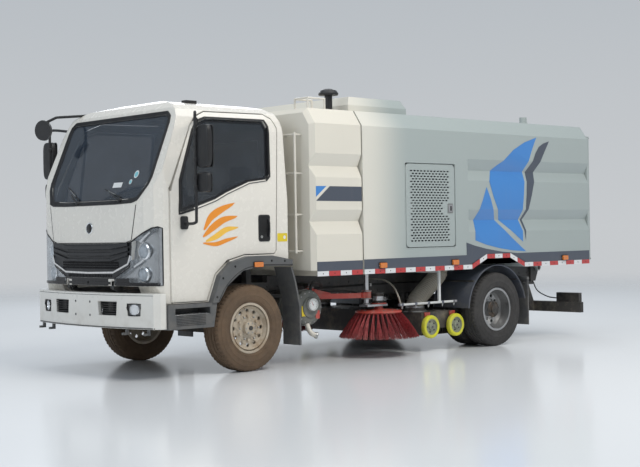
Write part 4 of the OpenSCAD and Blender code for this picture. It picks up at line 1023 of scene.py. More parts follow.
# ---------------------------------------------------------------- bumper
p = Part("bumper_trim", "chassis", "grey_plastic")
fb = tree("bumper", "bumper_lamps")
for s in (1, -1):
    # vent grilles set in behind the openings, over a near-black sheet that paints the shade inside them
    y0, y1, z0, z1 = 0.240, 0.500, 0.560, 0.685
    # near-black backing: painted shade behind the louvres
    p.box((3.060, min(s * y0, s * y1) - 0.01, z0 - 0.01), (3.070, max(s * y0, s * y1) + 0.01, z1 + 0.01),
        "dark")
    for k in range(6):
        z = z0 + 0.012 + k * 0.020
        p.box((3.070, min(s * y0, s * y1), z), (3.104, max(s * y0, s * y1), z + 0.006), "louvre")
    for k in range(9):
        y = y0 + 0.015 + k * 0.028
        p.box((3.068, s * y - 0.002, z0), (3.092, s * y + 0.002, z1), "louvre")
    # fog lamps
    q = drop(fb, s * 0.705, 0.615, "front", 0.0)
    n = Vector((0.93, s * 0.36, 0)).normalized()
    p.lathe([(0.050, -0.004), (0.050, 0.008), (0.044, 0.012), (0.041, 0.006)], q, n, "chrome", 32)
    p.lathe([(0.042, 0.004), (0.030, 0.009), (0, 0.012)], q, n, "white_lens", 32)
    ring = [(s * a, b) for a, b in ((0.786, 0.664), (0.624, 0.664), (0.634, 0.564), (0.776, 0.564))]
    strip_on(p, fb, ring, 0.010, "front", "gloss_black", closed=True, high=0.004)
    for z in (0.674, 0.555):
        q = drop(fb, s * 0.117, z, "front", 0.0)
        p.lathe([(0.0085, 0.001), (0.0085, 0.0022), (0.0, 0.0022)], q, (1, 0, 0), "dark", 16)
        p.lathe([(0.0125, 0.0), (0.0120, 0.0014), (0.0085, 0.0014)], q, (1, 0, 0), "bolt", 16)
# tow hook cover and the lower lip
strip_on(p, fb, [(-0.94, 0.456), (0, 0.456), (0.94, 0.456)], 0.012, "front", "grey", high=0.003)
strip_on(p, fb, [(-0.93, 0.738), (0, 0.738), (0.93, 0.738)], 0.005, "front", "rubber", lift=0, high=0.001)
p.done(bevel=0.001)

# ---------------------------------------------------------------- doors: seals, handle, graphic and mirrors
WINDOW = [(2.740, 1.455), (2.597, 1.491), (2.350, 1.570), (2.215, 1.632), (1.950, 1.730), (1.750, 1.755),
    (1.712, 1.790),
          (1.688, 2.240), (1.715, 2.295), (2.390, 2.290), (2.490, 2.255), (2.550, 2.180), (2.720, 1.740)]
SWOOSHES = (("orange", [(2.49, 1.30), (2.42, 1.42), (2.30, 1.49), (2.13, 1.54)], 0.052),
            ("orange", [(2.50, 1.24), (2.40, 1.33), (2.27, 1.40), (2.10, 1.42)], 0.050),
            ("amber", [(2.47, 1.20), (2.36, 1.25), (2.24, 1.31), (2.09, 1.32)], 0.042),
            ("orange", [(2.50, 1.185), (2.36, 1.18), (2.24, 1.21), (2.10, 1.235)], 0.030))


def outline_of(path, width):
    """A stroke that swells in its middle and ends in points."""
    mid_line = curve([(x, z, 0) for x, z in path], 6)
    left, right_side = [], []
    for i, c in enumerate(mid_line):
        a, b = mid_line[max(0, i - 1)], mid_line[min(len(mid_line) - 1, i + 1)]
        t = (b - a).normalized()
        w = width * math.sin(math.pi * min(1, 0.04 + i / (len(mid_line) - 1) * 0.96)) ** 0.7
        left.append((c.x - t.y * w, c.y + t.x * w))
        right_side.append((c.x + t.y * w * 0.3, c.y - t.x * w * 0.3))
    return left + right_side[::-1]


def oval_shell(part, lo, hi, mat, power=0.42, segs=28, rings=14, move=None):
    """A closed rounded shell that fills a box, with softly rounded edges."""
    c, h = (Vector(lo) + Vector(hi)) / 2, (Vector(hi) - Vector(lo)) / 2

    def soft(v):
        return math.copysign(abs(v) ** power, v)

    v = []
    for j in range(rings + 1):
        e = math.pi * (j / rings - 0.5)
        for i in range(segs):
            t = 2 * math.pi * (i + 0.5) / segs
            q = c + Vector((h.x * soft(math.cos(e)) * soft(math.cos(t)),
                h.y * soft(math.cos(e)) * soft(math.sin(t)),
                            h.z * soft(math.sin(e))))
            v.append(move @ q if move else q)
    f = [(j * segs + i, j * segs + (i + 1) % segs, (j + 1) * segs + (i + 1) % segs, (j + 1) * segs + i)
         for j in range(rings) for i in range(segs)]
    part.add(v, f, mat)


for s, side in SIDES:
    skin = tree(f"door_{side}", f"glass_{side}", "cab_shell")
    p = Part(f"door_trim_{side}", f"door_{side}", "black_plastic")
    mid_x, mid_z = 2.15, 1.93
    wide = [(mid_x + (x - mid_x) * 1.022, mid_z + (z - mid_z) * 1.03) for x, z in WINDOW]
    strip_on(p, skin, wide, 0.024, side, "rubber", closed=True, lift=0.001, high=0.005, step=0.03)
    inner = [(mid_x + (x - mid_x) * 0.962, mid_z + (z - mid_z) * 0.945) for x, z in WINDOW]
    strip_on(p, skin, inner, 0.020, side, "gloss_black", closed=True, lift=0.0008, high=0.0006, step=0.03)
    # division bar near the front of the window
    strip_on(p, skin, [(2.560, 1.520), (2.500, 2.215)], 0.026, side, "rubber", lift=0.001, high=0.005,
        step=0.05)
    # recessed handle with its pull
    y = drop(skin, 1.79, 1.30, side, 0.0).y * s
    for (g, off, th, mat) in ((0.0, 0.0005, 0.004, "black"), (0.012, 0.003, 0.0025, "dark")):
        p.slab([(a, s * (y + off), b) for a,
            b in rounded(1.721 + g, 1.859 - g, 1.184 + g, 1.430 - g, 0.024 - g / 2)],
               (0, s * th, 0), mat)
    p.tube(curve([(1.742, s * (y + 0.004), 1.385), (1.748, s * (y + 0.024), 1.355),
        (1.748, s * (y + 0.024), 1.265),
                  (1.742, s * (y + 0.004), 1.232)], 5), 0.0095, "gloss_black", 12)
    p.lathe([(0.013, 0), (0.013, 0.004), (0.009, 0.006), (0, 0.006)], (1.825, s * (y + 0.004), 1.228),
        (0, s, 0), "bolt", 20)
    p.done()
    p = Part(f"door_graphic_{side}", f"door_{side}", "cab_paint")
    for mat, path, w in SWOOSHES:
        on_surface(p, skin, outline_of(path, w), side, mat, 0.0014, 0.05)
    p.done()
    p = Part(f"cab_side_sticker_{side}", "cab", "cab_paint")
    on_surface(p, skin, rounded(1.510, 1.632, 1.180, 1.258, 0.008), side, "sticker_yellow", 0.0014, 0.05)
    on_surface(p, skin, rounded(1.530, 1.560, 1.204, 1.236, 0.014), side, "sticker_white", 0.0022, 0.05)
    # amber marker in the wheel arch flare, and the flare's lip
    p.slab([(a, s * 1.0245, b) for a, b in rounded(1.863, 1.985, 0.947, 1.006, 0.012)], (0, s * 0.006, 0),
        "black")
    p.slab([(a, s * 1.030, b) for a, b in rounded(1.872, 1.976, 0.954, 0.999, 0.010)], (0, s * 0.012, 0),
        "amber_lens")
    lip = [(2.380, 0.655), (2.280, 0.800), (2.100, 0.925), (1.870, 0.962), (1.500, 0.955)]
    p.tube(curve([(x + 0.004, s * 1.018, z + 0.008) for x, z in lip], 6), 0.009, "black", 10)
    for x, z in ((2.400, 0.72), (2.330, 0.885), (2.190, 0.985), (1.760, 1.025), (1.600, 1.020)):
        p.lathe([(0.011, 0), (0.010, 0.003), (0.005, 0.0045), (0, 0.005)], (x, s * 1.0245, z - 0.018),
            (0, s, 0), "dark", 16)
    # tread plate in the step, with raised bars
    p.box((2.475, min(s * 0.84, s * 1.005), 0.5605), (2.845, max(s * 0.84, s * 1.005), 0.566), "bolt")
    for k in range(9):
        x = 2.500 + 0.040 * k
        p.tube([(x, s * 0.850, 0.569), (x, s * 0.995, 0.569)], 0.004, "steel", 6)
    for k in range(7):
        z = 0.470 + 0.014 * k
        p.box((2.520, min(s * 1.009, s * 1.012), z), (2.840, max(s * 1.009, s * 1.012), z + 0.006), "black")
    p.done(bevel=0.001)

    p = Part(f"mirror_set_{side}", f"door_{side}", "black_plastic", f"mirrors_{side}")
    oval_shell(p, (2.662, min(s * 1.160, s * 1.340), 1.830), (2.730, max(s * 1.160, s * 1.340), 2.200),
        "black")
    oval_shell(p, (2.662, min(s * 1.160, s * 1.320), 1.620), (2.722, max(s * 1.160, s * 1.320), 1.790),
        "black")
    for y0, y1, z0, z1 in ((1.168, 1.332, 1.840, 2.190), (1.168, 1.312, 1.630, 1.780)):
        face = [(2.6625, s * a, b) for a, b in rounded(y0, y1, z0, z1, 0.022)]
        p.slab(face, (-0.0015, 0, 0), "mirror")
        ring = [(2.664, s * a, b) for a, b in rounded(y0 - 0.003, y1 + 0.003, z0 - 0.003, z1 + 0.003, 0.024)]
        p.tube(ring, 0.0045, "black", 6, closed=True)
    p.tube(curve([(2.690, s * 0.975, 1.352), (2.735, s * 1.080, 1.352), (2.735, s * 1.165, 1.362),
        (2.735, s * 1.180, 1.42),
                  (2.735, s * 1.180, 1.80), (2.735, s * 1.180, 2.24), (2.728, s * 1.172, 2.300),
                  (2.700, s * 1.135, 2.312),
                  (2.60, s * 1.005, 2.292), (2.505, s * 0.885, 2.268)], 7), 0.013, "black", 14)
    for z in (1.660, 1.750, 1.900, 2.120):
        p.tube([(2.735, s * 1.180, z), (2.712, s * 1.190, z)], 0.011, "black", 10)
        p.lathe([(0.0185, -0.016), (0.020, -0.012), (0.020, 0.012), (0.0185, 0.016), (0.013, 0.018)],
            (2.735, s * 1.180, z),
                (0, 0, 1), "black", 20)
    for x, y, z in ((2.690, 0.965, 1.352), (2.505, 0.880, 2.266)):
        p.lathe([(0.034, -0.004), (0.034, 0.006), (0.022, 0.014), (0.014, 0.020)], (x, s * y, z),
            (0, s, 0.05), "black", 24)
    p.slab([(a, s * 0.962, b) for a, b in rounded(2.672, 2.745, 1.305, 1.420, 0.018)], (0, s * 0.016, 0),
        "black")
    p.done(angle=40)

# ---------------------------------------------------------------- cab interior: dash, seats and controls
DASH = [(2.930, 1.030), (2.930, 1.400), (2.895, 1.492), (2.860, 1.498), (2.800, 1.490), (2.735, 1.470),
    (2.700, 1.440),
        (2.695, 1.395), (2.715, 1.360), (2.765, 1.300), (2.790, 1.200), (2.800, 1.030)]
p = Part("dashboard", "cab", "grey_plastic", "cab_interior")
rows = []
for k in range(29):
    y = -0.70 + 1.40 * k / 28
    swell = 0.030 * math.exp(-((y - 0.56) / 0.20) ** 2) + 0.014 * math.exp(-(y / 0.22) ** 2)
    rows.append([(x - (swell if x < 2.87 else 0), y, z + (swell if z > 1.38 else 0)) for x, z in DASH])
n = len(DASH)
p.add([q for r in rows for q in r], [(a * n + b, a * n + (b + 1) % n, (a + 1) * n + (b + 1) % n,
    (a + 1) * n + b)
                                     for a in range(28) for b in range(n)] + [tuple(range(n)),
                                         tuple(28 * n + b for b in range(n))], "dash")
for y in (-0.56, -0.14, 0.14, 0.30):
    p.slab([(2.762, y + a, 1.39 + b) for a, b in rounded(-0.055, 0.055, -0.026, 0.026, 0.010)],
        (-0.090, 0, 0.01), "black")
    for k in range(4):
        z = 1.374 + 0.011 * k
        p.box((2.668, y - 0.050, z), (2.674, y + 0.050, z + 0.003), "louvre")
for k in range(3):
    p.lathe([(0.020, 0), (0.019, 0.012), (0.014, 0.016), (0, 0.016)], (2.735, -0.06 + 0.06 * k, 1.325),
        (-1, 0, -0.4), "gloss_black", 20)
tilt = Matrix.Translation((2.71, 0.56, 1.33)) @ Matrix.Rotation(-math.radians(40), 4, "Y")
p.lathe([(0.050, -0.06), (0.054, 0.02), (0.048, 0.10), (0.034, 0.148), (0.0135, 0.150)], (0, 0, 0), (0, 0, 1),
    "dash", 28, move=tilt)
for s in (1, -1):
    p.tube([tilt @ Vector((0.0, s * 0.03, 0.12)), tilt @ Vector((-0.02, s * 0.14, 0.135)),
        tilt @ Vector((-0.02, s * 0.19, 0.14))],
           0.008, "black", 10)
p.slab([(2.70, 0.50 + a, 1.500 + b) for a, b in rounded(-0.02, 0.14, -0.045, 0.012, 0.012)], (0.05, 0, 0.012),
    "gloss_black")
p.done(bevel=0.003, angle=40)


def seat(name, y0, y1):
    """A sprung seat: crowned base and back with sewn channels, side bolsters and a head rest."""
    mid_y, w = (y0 + y1) / 2, (y1 - y0) / 2
    p = Part(name, "cab", "seat_fabric")
    lean = math.radians(9)
    move = Matrix.Translation((1.84, 0, 1.25)) @ Matrix.Rotation(-lean, 4, "Y")
    for lo, hi, m in (((1.79, -w + 0.01, 1.130), (2.27, w - 0.01, 1.290), None),
        ((-0.085, -w + 0.02, 0.02), (0.035, w - 0.02, 0.50), move)):
        part_v = len(p.v)
        base_lo, base_hi = Vector(lo), Vector(hi)
        oval_shell(p, lo, hi, "seat", 0.36, 72, 34)
        c, h = (base_lo + base_hi) / 2, (base_hi - base_lo) / 2
        for i in range(part_v, len(p.v)):
            q = Vector(p.v[i])
            u = (q.y - c.y) / h.y
            along = (q.x - c.x) / h.x if m is None else (q.z - c.z) / h.z
            # channels sewn along the middle panel, seams beside the bolsters, and a crown between them
            dip = 0.0
            if abs(u) < 0.62:
                dip += 0.006 * max(0.0, 1 - abs(math.sin(math.pi * 3.5 * (along + 1) / 1.0)) * 4)
            dip += 0.010 * math.exp(-((abs(u) - 0.64) / 0.035) ** 2)
            rise = 0.010 * math.exp(-((abs(u) - 0.84) / 0.13) ** 2) - 0.010 * (1 - u * u)
            axis = 2 if m is None else 0
            face = (q[axis] - c[axis]) / h[axis]
            if face > 0.5:
                q[axis] += rise - dip - 0.006
            if m is not None:
                q = m @ q
            p.v[i] = (q.x, q.y + mid_y, q.z)
    k = len(p.v)
    oval_shell(p, (-0.07, -0.14, 0.52), (0.02, 0.14, 0.655), "seat", 0.5, 32, 16, move)
    for i in range(k, len(p.v)):
        p.v[i] = (p.v[i][0], p.v[i][1] + mid_y, p.v[i][2])
    o = p.done(angle=60)
    b = Part(name + "_base", "cab", "grey_plastic")
    b.add([(1.80 + 0.43 * i, mid_y + j * (w - 0.03), z) for z in (1.012, 1.135) for i,
        j in ((0, -1), (1, -1), (1, 1), (0, 1))],
          [(0, 1, 2, 3), (4, 5, 6, 7), (0, 1, 5, 4), (1, 2, 6, 5), (2, 3, 7, 6), (3, 0, 4, 7)], "dash", False)
    for j in (-1, 1):
        b.tube([(1.82, mid_y + j * (w - 0.02), 1.03), (2.24, mid_y + j * (w - 0.02), 1.03)], 0.010, "bolt", 8)
        b.tube([move @ Vector((-0.03, j * 0.06, 0.44)) + Vector((0, mid_y, 0)),
            move @ Vector((-0.03, j * 0.06, 0.56)) + Vector((0, mid_y, 0))],
               0.006, "chrome", 8)
    b.done(bevel=0.006)


seat("driver_seat", 0.31, 0.79)
seat("passenger_seat", -0.79, -0.26)
p = Part("steering_wheel_pad", "steering_wheel", "black_plastic")
p.lathe([(0.062, 0.186), (0.066, 0.200), (0.058, 0.216), (0.030, 0.224), (0, 0.226)], (0, 0, 0), (0, 0, 1),
    "black", 32, move=tilt)
for a in (0, 130, 230):
    t = math.radians(a)
    p.tube([tilt @ Vector((r * math.cos(t), r * math.sin(t), 0.206)) for r in (0.05, 0.12, 0.20)], 0.011,
        "gloss_black", 10)
p.done()

# ---------------------------------------------------------------- brushes
BX, BY, RODX = FA - 1.800, 0.800, FA - 1.630
for s, side in SIDES:
    p = Part(f"brush_{side}_bristles", f"brush_{side}", "red_paint", f"brush_{side}")
    at = Vector((BX, s * BY, 0))
    p.lathe([(0, 0.428), (0.165, 0.428), (0.225, 0.432), (0.238, 0.444), (0.236, 0.456), (0.222, 0.462),
        (0.120, 0.470),
             (0.060, 0.474), (0.045, 0.480), (0.040, 0.5047), (0, 0.5047)], at, (0, 0, 1), "red", 64)
    for k in range(12):
        t = 2 * math.pi * k / 12
        p.bolt(at + Vector((0.195 * math.cos(t), 0.195 * math.sin(t), 0.463)), (0, 0, 1), 0.007)
    for ring, (r0, z0, reach, count) in enumerate(((0.222, 0.440, 0.398, 34), (0.195, 0.432, 0.352, 30),
        (0.165, 0.430, 0.318, 26))):
        for k in range(count):
            t0 = 2 * math.pi * (k + 0.5 * (ring % 2)) / count
            for _ in range(15):
                da, dr = rng.gauss(0, 0.045), rng.uniform(-0.020, 0.010)
                a0, a1 = t0 + rng.gauss(0, 0.012), t0 + da + 0.06
                tip_z = 0.1855 + abs(rng.gauss(0, 0.010))
                pts = []
                for u in (0.0, 0.35, 0.7, 1.0):
                    r = r0 + rng.uniform(-0.004, 0.004) + (reach + dr - r0) * u ** 0.86
                    a = a0 + (a1 - a0) * u
                    pts.append(at + Vector((r * math.cos(a), r * math.sin(a), z0 + (tip_z - z0) * u)))
                w = 0.0034
                v, f = [], []
                for i, q in enumerate(pts):
                    tan = Vector((-math.sin(a0), math.cos(a0), 0))
                    out = Vector((math.cos(a0), math.sin(a0), 0.6)).normalized()
                    g = w * (1 - 0.35 * i / 3)
                    v += [q + tan * g, q - tan * g * 0.5 + out * g, q - tan * g * 0.5 - out * g]
                for i in range(3):
                    f += [(i * 3 + j, i * 3 + (j + 1) % 3, i * 3 + 3 + (j + 1) % 3,
                        i * 3 + 3 + j) for j in range(3)]
                p.add(v, f, "bristle")
    p.done(angle=50)
    # hydraulic motor, its ports, hoses and the lifting plate
    p = Part(f"brush_motor_{side}", f"brush_slide_{side}", "steel")
    c = Vector((BX, s * BY, 0))
    p.lathe([(0.0565, 0.527), (0.0565, 0.560), (0.050, 0.563), (0.050, 0.600), (0.0565, 0.603),
        (0.0565, 0.634), (0.045, 0.6365), (0, 0.6365)],
            c, (0, 0, 1), "cast", 32)
    p.lathe([(0.082, 0.5252), (0.084, 0.528), (0.084, 0.5335), (0.080, 0.536), (0.057, 0.536)], c, (0, 0, 1),
        "red", 40)
    for k in range(4):
        t = math.radians(45 + 90 * k)
        p.bolt(c + Vector((0.071 * math.cos(t), 0.071 * math.sin(t), 0.536)), (0, 0, 1), 0.007)
    for dy in (-0.022, 0.022):
        q = c + Vector((-0.050, dy, 0.582))
        p.lathe([(0.013, 0), (0.013, 0.016), (0.010, 0.018), (0.010, 0.030)], q, (-1, 0, 0), "bolt", 6)
        p.tube(curve([q + Vector((-0.02, 0, 0)), q + Vector((-0.06, 0, 0.002)),
            q + Vector((-0.085, s * -0.025, 0.022)),
                      q + Vector((-0.055, s * -0.062, 0.036)), q + Vector((0.03, s * -0.072, 0.034)),
                      q + Vector((0.100, s * -0.060, 0.008)),
                      Vector((RODX - 0.062, s * (BY - 0.046) + dy * 0.4, 0.527))], 7),
               0.0085, "rubber", 10)
    p.lathe([(0.040, 0.523), (0.040, 0.535), (0.032, 0.540), (0.026, 0.541)], Vector((RODX, s * BY, 0)),
        (0, 0, 1), "bolt", 28)
    p.done()
    # arm: gussets, bearing caps, grease nipples and a tension spring
    p = Part(f"brush_arm_trim_{side}", f"brush_arm_{side}", "red_paint")
    for x, y, r, z0, z1 in ((FA - 1.070, 0.560, 0.0455, 0.536, 0.724), (RODX, BY, 0.0485, 0.580, 0.670)):
        for z, d in ((z0 + 0.004, 1), (z1 - 0.004, -1)):
            p.lathe([(r, -0.003), (r + 0.005, 0.0), (r + 0.005, 0.008), (r, 0.010)],
                (x, s * y, z - (0.008 if d < 0 else 0)), (0, 0, 1), "bolt", 36)
    a, b = Vector((FA - 1.070, s * 0.560, 0.650)), Vector((RODX + 0.140, s * 0.860, 0.650))
    d = (b - a).normalized()
    side_way = Vector((-d.y, d.x, 0))
    for off in (-0.022, 0.022):
        q0, q1 = a + d * 0.05 + side_way * off, a + d * 0.22 + side_way * off
        p.slab([q0, q1, q1 + Vector((0, 0, 0.004)), q0 + Vector((0, 0, 0.050))], side_way * 0.006, "red")
    for t in (0.30, 0.55, 0.80):
        p.bolt(a.lerp(b, t), (0, 0, 1), 0.008)
    spring = [a.lerp(b, 0.30 + 0.45 * i / 120) + side_way * 0.040 + (side_way * math.cos(i * 0.9) + Vector((0,
        0, 1)) * math.sin(i * 0.9)) * 0.015
              + Vector((0, 0, -0.018)) for i in range(121)]
    p.tube(spring, 0.003, "steel", 6)
    p.tube(curve([a + Vector((0, 0, 0.006)) + d * 0.03, a.lerp(b, 0.3) + Vector((0, 0, 0.028)),
        a.lerp(b, 0.62) + Vector((0, 0, 0.026)),
                  a.lerp(b, 0.93) + Vector((0, 0, 0.006))], 8), 0.010, "rubber", 10)
    p.done(bevel=0.0015, angle=40)

# ---------------------------------------------------------------- suction head, hoses, small wheels and spray bars
HEAD_X1 = FA - 2.330
HOSE_X, HOSE_Y, INLET_X = HEAD_X1 - 0.097, 0.720, HEAD_X1 - 0.482
p = Part("hoses_corrugated", None, "hose_rubber", "suction_hose")
for s, side in SIDES:
    lo, hi = Vector((HOSE_X, s * HOSE_Y, 0.471)), Vector((INLET_X, s * HOSE_Y, 0.838))
    path = curve([lo, lo + Vector((-0.020, 0, 0.055)), (lo + hi) / 2 + Vector((0.0, 0, 0)),
        hi + Vector((0.020, 0, -0.055)), hi], 14)
    p.tube(path, 0.0865, "hose", 40, ribs=0.085, rib_len=0.024)
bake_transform(p.done(angle=18))
for k, (body, x) in enumerate((("head_wheels_front", HEAD_X1 - 0.080),
    ("head_wheels_rear", HEAD_X1 - 0.470))):
    p = Part(body + "_tyres", body, "yellow_rubber", body)
    for s, side in SIDES:
        c = Vector((x, s * 0.950, 0.260))
        p.lathe([(0.084, -0.024), (0.092, -0.027), (0.108, -0.0275), (0.116, -0.023), (0.1195, -0.013),
            (0.1200, 0.0), (0.1195, 0.013),
                 (0.116, 0.023), (0.108, 0.0275), (0.092, 0.027), (0.084, 0.024), (0.078, 0.0)], c, (0, s, 0),
                 "yellow", 56, closed=True)
        p.lathe([(0.0125, -0.022), (0.083, -0.022), (0.083, 0.022), (0.075, 0.0245), (0.071, 0.012),
            (0.060, 0.008), (0.040, 0.010),
                 (0.036, 0.022), (0.030, 0.026), (0.0125, 0.026)], c, (0, s, 0), "olive", 48, closed=True)
        for i in range(5):
            t = 2 * math.pi * i / 5
            p.lathe([(0.010, 0), (0.010, 0.0010), (0, 0.0010)],
                c + Vector((0.055 * math.cos(t), s * 0.0085, 0.055 * math.sin(t))), (0, s, 0), "dark", 16)
    p.done(angle=30)
p = Part("suction_head_details", "suction_head", "frame_paint")
for s, side in SIDES:
    for x in (HEAD_X1 - 0.080, HEAD_X1 - 0.470):
        c = Vector((x, s * 0.900, 0.260))
        p.slab([c + Vector(q) for q in ((-0.045, 0, 0.148), (0.045, 0, 0.148), (0.022, 0, -0.022),
            (-0.022, 0, -0.022))], (0, s * 0.010, 0), "red")
        p.lathe([(0.016, 0.076), (0.016, 0.0835), (0.009, 0.084), (0, 0.084)], c, (0, s, 0), "bolt", 6)
    p.lathe([(0.1015, 0.408), (0.128, 0.409), (0.128, 0.420), (0.1015, 0.421)], (HOSE_X, s * HOSE_Y, 0),
        (0, 0, 1), "bolt", 48)
    for i in range(8):
        t = math.pi * (i + 0.5) / 4
        p.bolt((HOSE_X + 0.116 * math.cos(t), s * HOSE_Y + 0.116 * math.sin(t), 0.420), (0, 0, 1), 0.007)
    p.lathe([(0.0965, 0.452), (0.101, 0.454), (0.101, 0.468), (0.0965, 0.470)], (HOSE_X, s * HOSE_Y, 0),
        (0, 0, 1), "steel", 48)
    # rubber skirt with slits
    for i in range(14):
        x = HEAD_X1 - 0.498 + 0.0355 * i
        p.box((x, min(s * 0.893, s * 0.900), 0.1702), (x + 0.033, max(s * 0.893, s * 0.900), 0.235), "rubber")
for i in range(46):
    y = -0.897 + 0.039 * i
    for x in (HEAD_X1 - 0.0065, HEAD_X1 - 0.4995):
        p.box((x, y, 0.1702), (x + 0.006, y + 0.036, 0.235), "rubber")
for y in np.arange(-0.80, 0.81, 0.16):
    p.bolt((HEAD_X1 - 0.03, y, 0.410), (0, 0, 1), 0.006)
    p.bolt((HEAD_X1 - 0.47, y, 0.410), (0, 0, 1), 0.006)
p.done(bevel=0.001)
p = Part("spray_bar_nozzles", "chassis", "white_plastic")
for s, side in SIDES:
    y = s * 0.985
    for x in (HEAD_X1 - 0.410, HEAD_X1 - 0.230, HEAD_X1 - 0.015, HEAD_X1 + 0.180, HEAD_X1 + 0.380):
        p.lathe([(0.0135, -0.016), (0.017, -0.014), (0.017, 0.014), (0.0135, 0.016)], (x, y, 0.512),
            (1, 0, 0), "blue_grey", 24)
        p.lathe([(0.010, 0), (0.010, 0.014), (0.0075, 0.018), (0.0075, 0.028), (0.004, 0.031), (0, 0.031)],
            (x, y, 0.498), (0, 0, -1), "bolt", 14)
    for x in (HEAD_X1 - 0.450, HEAD_X1 + 0.420):
        p.lathe([(0.0145, -0.010), (0.0150, 0.0), (0.0145, 0.004), (0, 0.005)], (x, y, 0.512),
            (1 if x > HEAD_X1 else -1, 0, 0), "blue_grey", 24)
    p.tube(curve([(HEAD_X1 + 0.40, y, 0.524), (HEAD_X1 + 0.42, y - s * 0.01, 0.60),
        (HEAD_X1 + 0.40, y - s * 0.10, 0.70),
                  (HEAD_X1 + 0.36, y - s * 0.28, 0.76), (HEAD_X1 + 0.34, y - s * 0.50, 0.77)], 8), 0.009,
                  "hose", 12)
p.done()

# ---------------------------------------------------------------- canister with its gauge, on the left behind the front wheel
TX, TZ = FA - 0.800, 0.540
p = Part("canister", "chassis", "black_plastic", "side_tank")
p.lathe([(0, 0.560), (0.120, 0.560), (0.158, 0.572), (0.168, 0.592), (0.168, 0.640), (0.1695, 0.643),
    (0.1695, 0.655), (0.168, 0.658),
         (0.168, 0.820), (0.1695, 0.823), (0.1695, 0.842), (0.160, 0.852), (0.132, 0.862), (0.100, 0.866),
         (0.096, 0.878), (0, 0.878)],
        (TX, 0, TZ), (0, 1, 0), "canister", 64)
for k in range(16):
    t = 2 * math.pi * k / 16
    p.bolt((TX + 0.146 * math.cos(t), 0.857, TZ + 0.146 * math.sin(t)), (0, 1, 0), 0.0065)
g = Vector((TX - 0.010, 0.878, TZ + 0.030))
p.lathe([(0.058, 0), (0.060, 0.006), (0.060, 0.030), (0.054, 0.034), (0.050, 0.030), (0.050, 0.026)], g,
    (0, 1, 0), "white", 44)
p.lathe([(0.050, 0.024), (0, 0.024)], g, (0, 1, 0), "sticker_white", 40)
for k in range(11):
    t = math.radians(-30 + 24 * k)
    a, b = Vector((math.cos(t), 0, math.sin(t))), Vector((-math.sin(t), 0, math.cos(t)))
    p.slab([g + a * 0.036 + b * 0.0012, g + a * 0.045 + b * 0.0012, g + a * 0.045 - b * 0.0012,
        g + a * 0.036 - b * 0.0012], (0, 0.0252, 0), "dark")
p.slab([g + Vector((0.002, 0, -0.010)), g + Vector((-0.002, 0, -0.010)), g + Vector((0.022, 0, 0.034))],
    (0, 0.0265, 0), "red")
p.lathe([(0.005, 0.024), (0.005, 0.0275), (0, 0.028)], g, (0, 1, 0), "bolt", 14)
for x, z, h in ((TX + 0.085, TZ - 0.030, 0.050), (TX - 0.095, TZ - 0.070, 0.040)):
    p.slab([(x + a, 0.868, z + b) for a, b in rounded(-0.026, 0.026, -h, h, 0.006)], (0, 0.002, 0),
        "sticker_yellow" if x > TX else "red")
p.tube(curve([(TX + 0.02, 0.84, TZ - 0.160), (TX + 0.02, 0.87, TZ - 0.215), (TX + 0.01, 0.900, TZ - 0.250),
    (TX - 0.03, 0.925, TZ - 0.268)], 7),
       0.024, "cream_tube", 20)
p.lathe([(0.030, 0), (0.031, 0.010), (0.031, 0.024), (0.026, 0.028), (0.012, 0.028)],
    (TX - 0.015, 0.912, TZ - 0.262), (-0.85, 0.45, -0.25), "bolt", 24)
p.tube(curve([(TX - 0.05, 0.82, TZ + 0.155), (TX - 0.06, 0.82, TZ + 0.205), (TX - 0.12, 0.80, TZ + 0.235),
    (TX - 0.26, 0.72, TZ + 0.225),
              (TX - 0.38, 0.62, TZ + 0.18)], 8), 0.016, "rubber", 14)
for y in (0.62, 0.80):
    p.tube([(TX + 0.1735 * math.cos(t), y,
        TZ + 0.1735 * math.sin(t)) for t in (2 * math.pi * k / 48 for k in range(48))], 0.004, "bolt", 6,
        closed=True)
p.box((TX - 0.060, 0.42, TZ + 0.100), (TX + 0.060, 0.600, TZ + 0.160), "frame")
p.box((TX - 0.030, 0.42, TZ + 0.060), (TX + 0.030, 0.600, TZ + 0.105), "frame")
p.done(bevel=0.0008, angle=32)

# battery box: lid, straps and vents
p = Part("battery_box_details", "chassis", "black_plastic")
for k in range(9):
    z = 0.440 + 0.022 * k
    p.box((1.03, -0.9445, z), (1.26, -0.9400, z + 0.010), "grey")
p.box((0.992, -0.946, 0.668), (1.298, -0.474, 0.706), "grey")
for x in (1.06, 1.23):
    p.tube([(x, -0.948, 0.42), (x, -0.948, 0.712), (x, -0.47, 0.712)], 0.006, "bolt", 8)
    p.bolt((x, -0.946, 0.45), (0, -1, 0), 0.010)
p.done(bevel=0.002)

